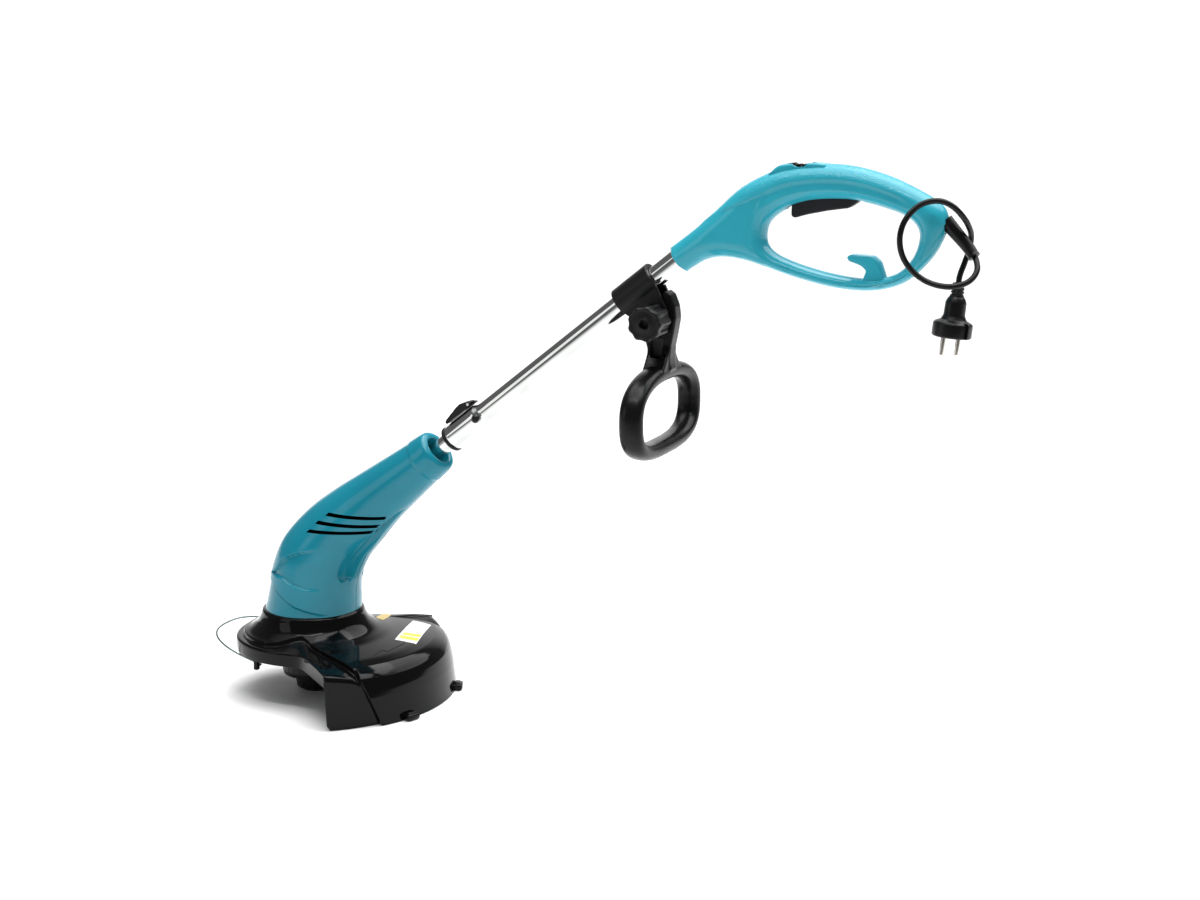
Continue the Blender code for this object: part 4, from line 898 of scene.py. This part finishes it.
LOOP_X, LOOP_Z, LOOP_WIDE, LOOP_HIGH = 0.409, 0.344, 0.0795, 0.0375
TONGUE = ((0.0145, -0.05), (0.0132, -0.044), (0.013, -0.038), (0.0138, -0.026), (0.0165, -0.013),
          (0.019, 0.002), (0.0175, 0.014), (0.013, 0.025), (0.008, 0.0285), (0.002, 0.024))
TONGUE_LEFT = ((-0.0205, -0.008), (-0.014, -0.02), (-0.0112, -0.03), (-0.0112, -0.04), (-0.0125, -0.05))


def swollen(value, power):
    """A cosine or sine pushed outwards, which makes a circle squarer when the power is under 1."""
    return math.copysign(abs(value) ** power, value)


def loop_mesh():
    around, across, points = 180, 40, []
    for c, s in turn_of(around):
        power = 2 / (3.1 if s < 0 else 2.4)
        y, z = LOOP_WIDE * swollen(c, power), LOOP_HIGH * swollen(s, power)
        outward_side = Vector((0, c / LOOP_WIDE, s / LOOP_HIGH)).normalized()
        for ct, st in turn_of(across):
            off = outward_side * (0.0085 * swollen(ct, 0.86))
            points.append((LOOP_X + 0.012 * swollen(st, 0.86), y + off.y, LOOP_Z + z + off.z))
    return mesh_of("loop", points, grid_faces(around, across, True, True))


def build_front_handle():
    """The loop and its tongue in one flowing body, with two ribs and a slot at the tongue's foot."""
    place = Matrix.Translation(BOLT) @ SIDE_PLANE
    outline = [*TONGUE, *arc((0, 0), 0.0218, 88, 198, 14), *TONGUE_LEFT]
    tongue = plate("tongue", outline, 0.0172, 0.001, place)
    flare = ((-0.028, 0.382), (-0.019, 0.3915), (-0.0125, 0.3995), (-0.0086, 0.409), (0.0086, 0.409),
             (0.0125, 0.3995), (0.019, 0.3915), (0.028, 0.382), (0.02, 0.377), (-0.02, 0.377))
    upright = Matrix(((0, 0, 1, LOOP_X), (1, 0, 0, 0), (0, 1, 0, 0), (0, 0, 0, 1)))
    web = plate("web", flare, 0.0225, 0.001, upright)
    body = merged("front_handle_body", loop_mesh(), tongue, web)
    obj = piece("front_handle_body", body, grip_black, "front_handle", 180)
    soften(obj, 0.001, 7)
    recess = plate("recess", [(-0.0065, -0.018), (0.006, -0.019), (0.005, -0.04), (0.002, -0.044),
                              (-0.006, -0.042)], 0.008, 0.0012, Matrix.Translation((0, -0.0105, 0)) @ place)
    slot = plate("slot", [(0.0078, -0.033), (0.01, -0.033), (0.0108, -0.0425), (0.007, -0.0425)], 0.006, 0.0004,
                 Matrix.Translation((0, -0.01, 0)) @ place)
    carve(obj, recess, slot, sharp=45)


build_front_handle()


def build_knob():
    """The lobed clamp knob with a dished face and a socket; its axis runs to the operator's left."""
    rows = [(0.0036, 0.02, 0), (0.0036, 0.0138, 0), (0.012, 0.0136, 0), (0.0148, 0.0136, 0.6), (0.0158, 0.0144, 1),
            (0.0162, 0.0165, 1.5), (0.0162, 0.03, 1.5), (0.0163, 0.0345, 1.4), (0.0166, 0.0375, 0.7),
            (0.0171, 0.039, 0.6), (0.0172, 0.043, 0.6), (0.0168, 0.045, 0.6), (0.0158, 0.046, 0.5),
            (0.014, 0.046, 0.3), (0.0132, 0.0454, 0.1), (0.007, 0.0452, 0), (0.0062, 0.0458, 0), (0.0052, 0.0458, 0),
            (0.0046, 0.045, 0), (0.0045, 0.039, 0), (0.001, 0.0388, 0)]
    steps = 9 * 20
    outline = rounded([Vector(row) for row in rows], 0.0006, 3)
    points = []
    for radius, depth, lobes in outline:
        for j, (c, s) in enumerate(turn_of(steps)):
            r = radius + lobes * 0.0011 * (swollen(math.cos(9 * 2 * math.pi * j / steps), 0.7) - 0.45)
            points.append(BOLT + Vector((r * c, -depth, r * s)))
    faces = grid_faces(len(outline), steps, True, capped=True)
    piece("knob", mesh_of("knob", points, faces), satin_black, "clamp_knob", 38)


build_knob()

# Rear handle -----

# Side view outlines, x and z.
HANDLE_OUTER = ((0.4172, 0.5047), (0.44, 0.522), (0.464, 0.5425), (0.492, 0.567), (0.527, 0.584),
                (0.564, 0.59), (0.598, 0.5895), (0.633, 0.5815), (0.665, 0.568), (0.685, 0.556),
                (0.6915, 0.543), (0.689, 0.527), (0.677, 0.505), (0.654, 0.483), (0.625, 0.4735),
                (0.591, 0.4735), (0.555, 0.48), (0.522, 0.489), (0.496, 0.496), (0.473, 0.4985),
                (0.456, 0.4952), (0.443, 0.488), (0.4348, 0.4823))
HANDLE_OPENING = ((0.516, 0.52), (0.52, 0.534), (0.535, 0.546), (0.558, 0.5545), (0.584, 0.557),
                  (0.608, 0.556), (0.635, 0.55), (0.654, 0.543), (0.664, 0.533), (0.665, 0.521),
                  (0.659, 0.505), (0.646, 0.4915), (0.626, 0.485), (0.601, 0.485), (0.567, 0.4905),
                  (0.535, 0.5), (0.52, 0.509))
# Half thickness of the handle along x.
HANDLE_DEPTH = ((0.415, 0.0143), (0.436, 0.0145), (0.455, 0.0165), (0.5, 0.019), (0.56, 0.0185), (0.64, 0.0175),
                (0.7, 0.016))
# The side panel's edge: its top as height over x, and its back end as x over height.
PANEL_UPPER = ((0.43, 0.517), (0.455, 0.533), (0.478, 0.545), (0.517, 0.561), (0.53, 0.566))
PANEL_BACK = ((0.49, 0.526), (0.497, 0.517), (0.504, 0.511), (0.513, 0.506), (0.522, 0.505), (0.535, 0.5065),
              (0.548, 0.511), (0.561, 0.517))
HANDLE_ROUND = 0.0165
# The rings along the handle's edges end this far in.
CLEAR_OF_RINGS = 0.0066


def inset(loop, amount):
    """A loop of plan points moved towards its own inside, or outwards when the amount is negative."""
    nodes = np.array(loop)
    ahead = np.roll(nodes, -1, axis=0) - np.roll(nodes, 1, axis=0)
    normal = np.stack([ahead[:, 1], -ahead[:, 0]], 1) / np.linalg.norm(ahead, axis=1)[:, None]
    area = np.sum(nodes[:, 0] * np.roll(nodes[:, 1], -1) - np.roll(nodes[:, 0], -1) * nodes[:, 1])
    return nodes - normal * math.copysign(amount, amount * area)


def distance_to(points, chain):
    best = np.full(len(points), 1.0)
    for a, b in zip(chain[:-1], chain[1:]):
        span = b - a
        t = np.clip(((points - a) @ span) / (span @ span), 0, 1)
        best = np.minimum(best, np.linalg.norm(points - (a + t[:, None] * span), axis=1))
    return best


def inside(points, loop):
    result = np.zeros(len(points), bool)
    for a, b in zip(loop, np.roll(loop, -1, axis=0)):
        crosses = (a[1] > points[:, 1]) != (b[1] > points[:, 1])
        edge = (b[0] - a[0]) * (points[:, 1] - a[1]) / (b[1] - a[1] + 1e-12) + a[0]
        result ^= crosses & (points[:, 0] < edge)
    return result


def handle_plan():
    """The handle's side view as a fine flat mesh: its points and faces, and each point's two distances."""
    outer, opening = np.array(curved(HANDLE_OUTER, 8)), np.array(curved(HANDLE_OPENING, 8, True))
    ring_of_opening = np.vstack([opening, opening[:1]])

    def from_edges(points):
        return np.minimum(distance_to(points, outer), distance_to(points, ring_of_opening))

    def within(points):
        return inside(points, outer) & ~inside(points, opening)

    rings = []
    for step in (0.0003, 0.0009, 0.0018, 0.003, 0.0043, 0.0056):
        for loop, sign in ((outer, 1), (opening, -1)):
            ring = inset(loop, sign * step)
            rings.append(ring[(from_edges(ring) > 0.96 * step) & within(ring)])
    for chain, aside in ((curved(PANEL_UPPER, 14), (0, 1)), (curved(PANEL_BACK, 10), (1, 0))):
        for step in (-0.0007, 0.0007):
            edge = np.array([(p.x + step * aside[0], p.y + step * aside[1]) for p in chain])
            rings.append(edge[(from_edges(edge) > CLEAR_OF_RINGS) & within(edge)])
    rings = np.vstack(rings)
    spacing = 0.0015
    lattice = np.array([
        (x + spacing / 2 * (row % 2), z)
        for row, z in enumerate(np.arange(0.472, 0.592, spacing * 0.87))
        for x in np.arange(0.416, 0.693, spacing)
    ])
    lattice = lattice[within(lattice)]
    lattice = lattice[from_edges(lattice) > CLEAR_OF_RINGS]
    plan = np.vstack([outer, opening, rings, lattice])
    first, count = len(outer), len(opening)
    edges = [(i, (i + 1) % first) for i in range(first)]
    edges += [(first + i, first + (i + 1) % count) for i in range(count)]
    found, _, faces, _, _, _ = delaunay_2d_cdt([Vector(p) for p in plan], edges, [], 0, 1e-6)
    found = np.array([(p.x, p.y) for p in found])
    middles = np.array([found[list(face)].mean(axis=0) for face in faces])
    faces = [tuple(face) for face, keep in zip(faces, within(middles)) if keep]
    return found, faces, distance_to(found, outer), distance_to(found, ring_of_opening), outer


def handle_height(plan, from_outer, from_opening, outer):
    """The side's height over the seam, with the grip's step, the ridges and the side panel."""
    x, z = plan[:, 0], plan[:, 1]
    depth = over(x, HANDLE_DEPTH)
    near = (np.maximum(from_outer, 1e-6) ** -3.0 + np.maximum(from_opening, 1e-6) ** -3.0) ** (-1 / 3)
    near = np.where(np.minimum(from_outer, from_opening) < 1e-5, 0, near)
    reach = np.clip(near / HANDLE_ROUND, 0, 1)
    height = depth * np.sqrt(np.clip(1 - (1 - reach) ** 2, 0, 1))
    share = from_outer / (from_outer + from_opening + 1e-9)
    above = smoothstep(z - 0.528, -0.004, 0.016)
    bar = smoothstep(x, 0.512, 0.522) * fading(x, 0.64, 0.668) * above
    grip = smoothstep(share, 0.4, 0.44) * bar
    ridge = bell(share, 0.7, 0.055) * bar
    hollow = bell(share, 0.53, 0.08) * bar
    below = (1 - above) * smoothstep(x, 0.52, 0.545) * fading(x, 0.655, 0.67)
    rails = bell(share, 0.5, 0.07) * below
    panel = fading(z, over(x, PANEL_UPPER) - 0.0005, over(x, PANEL_UPPER) + 0.0005)
    panel = panel * fading(x, over(z, PANEL_BACK) - 0.0005, over(z, PANEL_BACK) + 0.0005)
    ring = bell(x - over(z, PANEL_BACK), 0.0075, 0.0022) * fading(z, 0.53, 0.556)
    ring = ring * smoothstep(z, 0.494, 0.505)
    height = height - 0.0008 * grip - 0.0011 * hollow + 0.0013 * ridge
    height = height - 0.0015 * rails - 0.0011 * panel + 0.0007 * ring
    mouth_a, mouth_b = outer[0], outer[-1]
    span = mouth_b - mouth_a
    from_mouth = np.abs((x - mouth_a[0]) * span[1] - (z - mouth_a[1]) * span[0]) / np.hypot(*span)
    lip = np.clip(1 - from_mouth / 0.002, 0, 1)
    height = height - 0.002 * (1 - np.sqrt(1 - lip**2))
    seam = 0.0003 * fading(height, 0.0, 0.0008)
    return np.maximum(height - seam, 0) + 0.00015


LEAD_DIR = (Vector(LEAD_ROUTE[2]) - Vector(LEAD_ROUTE[0])).normalized()


def build_handle():
    plan, faces, from_outer, from_opening, outer = handle_plan()
    height = handle_height(plan, from_outer, from_opening, outer)
    share = from_outer / (from_outer + from_opening + 1e-9)
    x, z = plan[:, 0], plan[:, 1]
    rough = smoothstep(x, 0.478, 0.5) * fading(share, 0.37, 0.41) * smoothstep(z, 0.545, 0.556)
    rough = rough * smoothstep(z - over(x, PANEL_UPPER), 0.0, 0.0015) * fading(x, 0.655, 0.675)
    for side, label in SIDES:
        form = bmesh.new()
        layer = form.verts.layers.float.new("stipple")
        domed = [form.verts.new((x, side * h, z)) for (x, z), h in zip(plan, height)]
        flat = [form.verts.new((x, side * 0.00012, z)) for x, z in plan]
        for vertex, value in zip(domed, rough):
            vertex[layer] = float(value)
        index = {v: i for i, v in enumerate(domed)}
        for face in faces:
            form.faces.new([domed[i] for i in face])
            form.faces.new([flat[i] for i in reversed(face)])
        for edge in [e for e in form.edges if e.is_boundary and e.verts[0] in index]:
            a, b = (index[v] for v in edge.verts)
            form.faces.new([domed[a], domed[b], flat[b], flat[a]])
        bmesh.ops.delete(form, geom=[v for v in form.verts if not v.link_faces], context="VERTS")
        bmesh.ops.recalc_face_normals(form, faces=form.faces)
        mesh = made_mesh(f"handle_cover_{label}", form)
        obj = piece(mesh.name, mesh, teal_handle, f"handle_shell_{label}", 50)
        carve(
            obj,
            block((0.5365, -0.0072, 0.54), (0.6125, 0.0072, 0.562), 0.0008),
            block((0.5345, -0.008, 0.5728), (0.5635, 0.008, 0.6), 0.0008),
            lathe("exit", [(0.0, 0.04), (0.0083, 0.04), (0.0083, 0.01), (0.0, 0.01)],
                  facing(LEAD_ROUTE[0], LEAD_DIR), 48),
            sharp=50,
        )


build_handle()


def side_plate(name, outline, reach, thickness, edge, finish, **rest):
    """A piece from a side view outline, thickened about the middle plane."""
    mesh = plate(name, [(p.x, p.y) for p in rounded(outline, reach, 4, True)], thickness, edge, SIDE_PLANE)
    return piece(name, mesh, finish, sharp=50, **rest)


HOOK = ((0.5975, 0.5045), (0.601, 0.507), (0.622, 0.506), (0.6285, 0.5005), (0.633, 0.488), (0.635, 0.4805),
        (0.612, 0.4805), (0.615, 0.488), (0.6165, 0.4925), (0.611, 0.497), (0.599, 0.5008))
side_plate("cable_hook", HOOK, 0.0022, 0.0156, 0.0016, teal_handle, body="upper", slot="teal_plastic")
COWL = ((0.518, 0.578), (0.527, 0.5868), (0.5335, 0.5895), (0.564, 0.5915), (0.576, 0.5905), (0.576, 0.584))
cowl = side_plate("button_cowl", COWL, 0.003, 0.0215, 0.0024, teal_handle, body="upper", slot="teal_plastic")
carve(cowl, block((0.5345, -0.008, 0.575), (0.5635, 0.008, 0.6), 0.0008),
      lathe("dish", [(0.0, 0.05), (0.0105, 0.05), (0.0105, -0.05), (0.0, -0.05)],
            Matrix.Translation((0.55, 0, 0.5975)) @ SIDE_PLANE, 48), sharp=40)

TRIGGER = ((0.542, 0.5505), (0.5418, 0.541), (0.545, 0.539), (0.559, 0.543), (0.578, 0.547), (0.598, 0.55),
           (0.606, 0.5555), (0.61, 0.56), (0.608, 0.565), (0.602, 0.566), (0.56, 0.562), (0.543, 0.56))
side_plate("trigger_blade", TRIGGER, 0.0022, 0.013, 0.0016, trigger_black, node="trigger")


def build_button():
    body = block((0.5374, -0.007, 0.5782), (0.5606, 0.007, 0.5876), 0.0012)
    flange = block((0.535, -0.0078, 0.5778), (0.563, 0.0078, 0.5796), 0.0004)
    ribs = []
    for k in range(4):
        x = 0.5402 + 0.0056 * k
        ribs.append(block((x, -0.0066, 0.586), (x + 0.0034, 0.0066, 0.5896 + 0.0008 * abs(k - 1.5)), 0.0009))
    piece("lock_off_key", merged("lock_off_key", body, flange, *ribs), gloss_black, "lock_off_button", 45)


build_button()

# Springs -----

# Each spring's node, the body that its fixed end rests on, its joint, its fixed end and its share of length left.
SPRINGS = (("trigger_spring", "upper", "trigger_pull", (0.5665, 0.0, 0.586), 0.77),
           ("lock_off_spring", "upper", "lock_off_press", (0.549, 0.0, 0.5705), 0.38),
           ("bump_spring", "spool", "bump_feed", (0.0, 0.0, 0.0233), 0.78))
for node, body, joint, fixed_end, share_left in SPRINGS:
    coil = made_mesh(f"{node}_coil", form_of(frame["nodes"][node].data))
    obj = piece(coil.name, coil, steel, node, 60, body=body)
    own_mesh(obj)

# Stage -----


# The way the camera looks, on the floor.
CAMERA_AHEAD = (-0.391, 0.921, 0.0)


def build_floor():
    """A pale matt floor that darkens a metre in front, on the camera's side."""
    form = bmesh.new()
    bmesh.ops.create_grid(form, x_segments=8, y_segments=8, size=30.0)
    floor = placed("floor", made_mesh("floor", form))
    floor.location = (0, 0, -0.0004)
    made = material_nodes("studio_floor")
    made.shader.inputs["Roughness"].default_value = 0.75
    made.shader.inputs["Specular IOR Level"].default_value = 0.2
    pale = made.ranged(made.towards(CAMERA_AHEAD), 0.0, 0.97, -2.3, -0.72)
    made.tinted(made.maths("MULTIPLY_ADD", made.noise(6.0), 0.02, pale), (0.14,) * 3, (0.93,) * 3)
    floor.data.materials.append(made.owner)


def area_light(name, where, target, width, height, power):
    data = bpy.data.lights.new(name, "AREA")
    data.shape = "RECTANGLE"
    data.size, data.size_y = width, height
    data.energy = power
    lamp = placed(name, data)
    lamp.location = where
    lamp.rotation_euler = (Vector(target) - Vector(where)).to_track_quat("-Z", "Y").to_euler()


def build_world():
    """A studio with a white background and ceiling, dim at its sides and behind the camera."""
    made = Nodes(bpy.data.worlds.new("studio"), "Generated")
    bpy.context.scene.world = made.owner
    behind = made.ranged(made.towards(CAMERA_AHEAD), 0.0, 1.0, 0.8, 0.94)
    ceiling = made.ranged(made.towards((0.0, 0.0, 1.0)), 0.0, 1.0, 0.72, 0.9)
    background = made.tree.nodes["Background"]
    background.inputs["Color"].default_value = (1, 1, 1, 1)
    made.link(made.ranged(made.maths("MAXIMUM", behind, ceiling), 0.16, 1.35, 0.0, 1.0), background.inputs["Strength"])


build_floor()
build_world()
area_light("overhead", (0.4, 0.3, 2.2), (0.3, 0.1, 0.0), 2.6, 2.0, 34)
area_light("front_strip", (0.3, -0.75, 1.9), (0.35, 0, 0.3), 1.5, 0.16, 9)
area_light("left_softbox", (-0.71, -1.04, 0.72), (0.3, 0, 0.4), 0.55, 0.75, 1.6)
sun_data = bpy.data.lights.new("floor_sun", "SUN")
sun_data.energy = 2.5
sun_data.angle = math.radians(65)
sun = placed("floor_sun", sun_data)
sun.rotation_euler = (math.radians(-24), math.radians(22), 0)
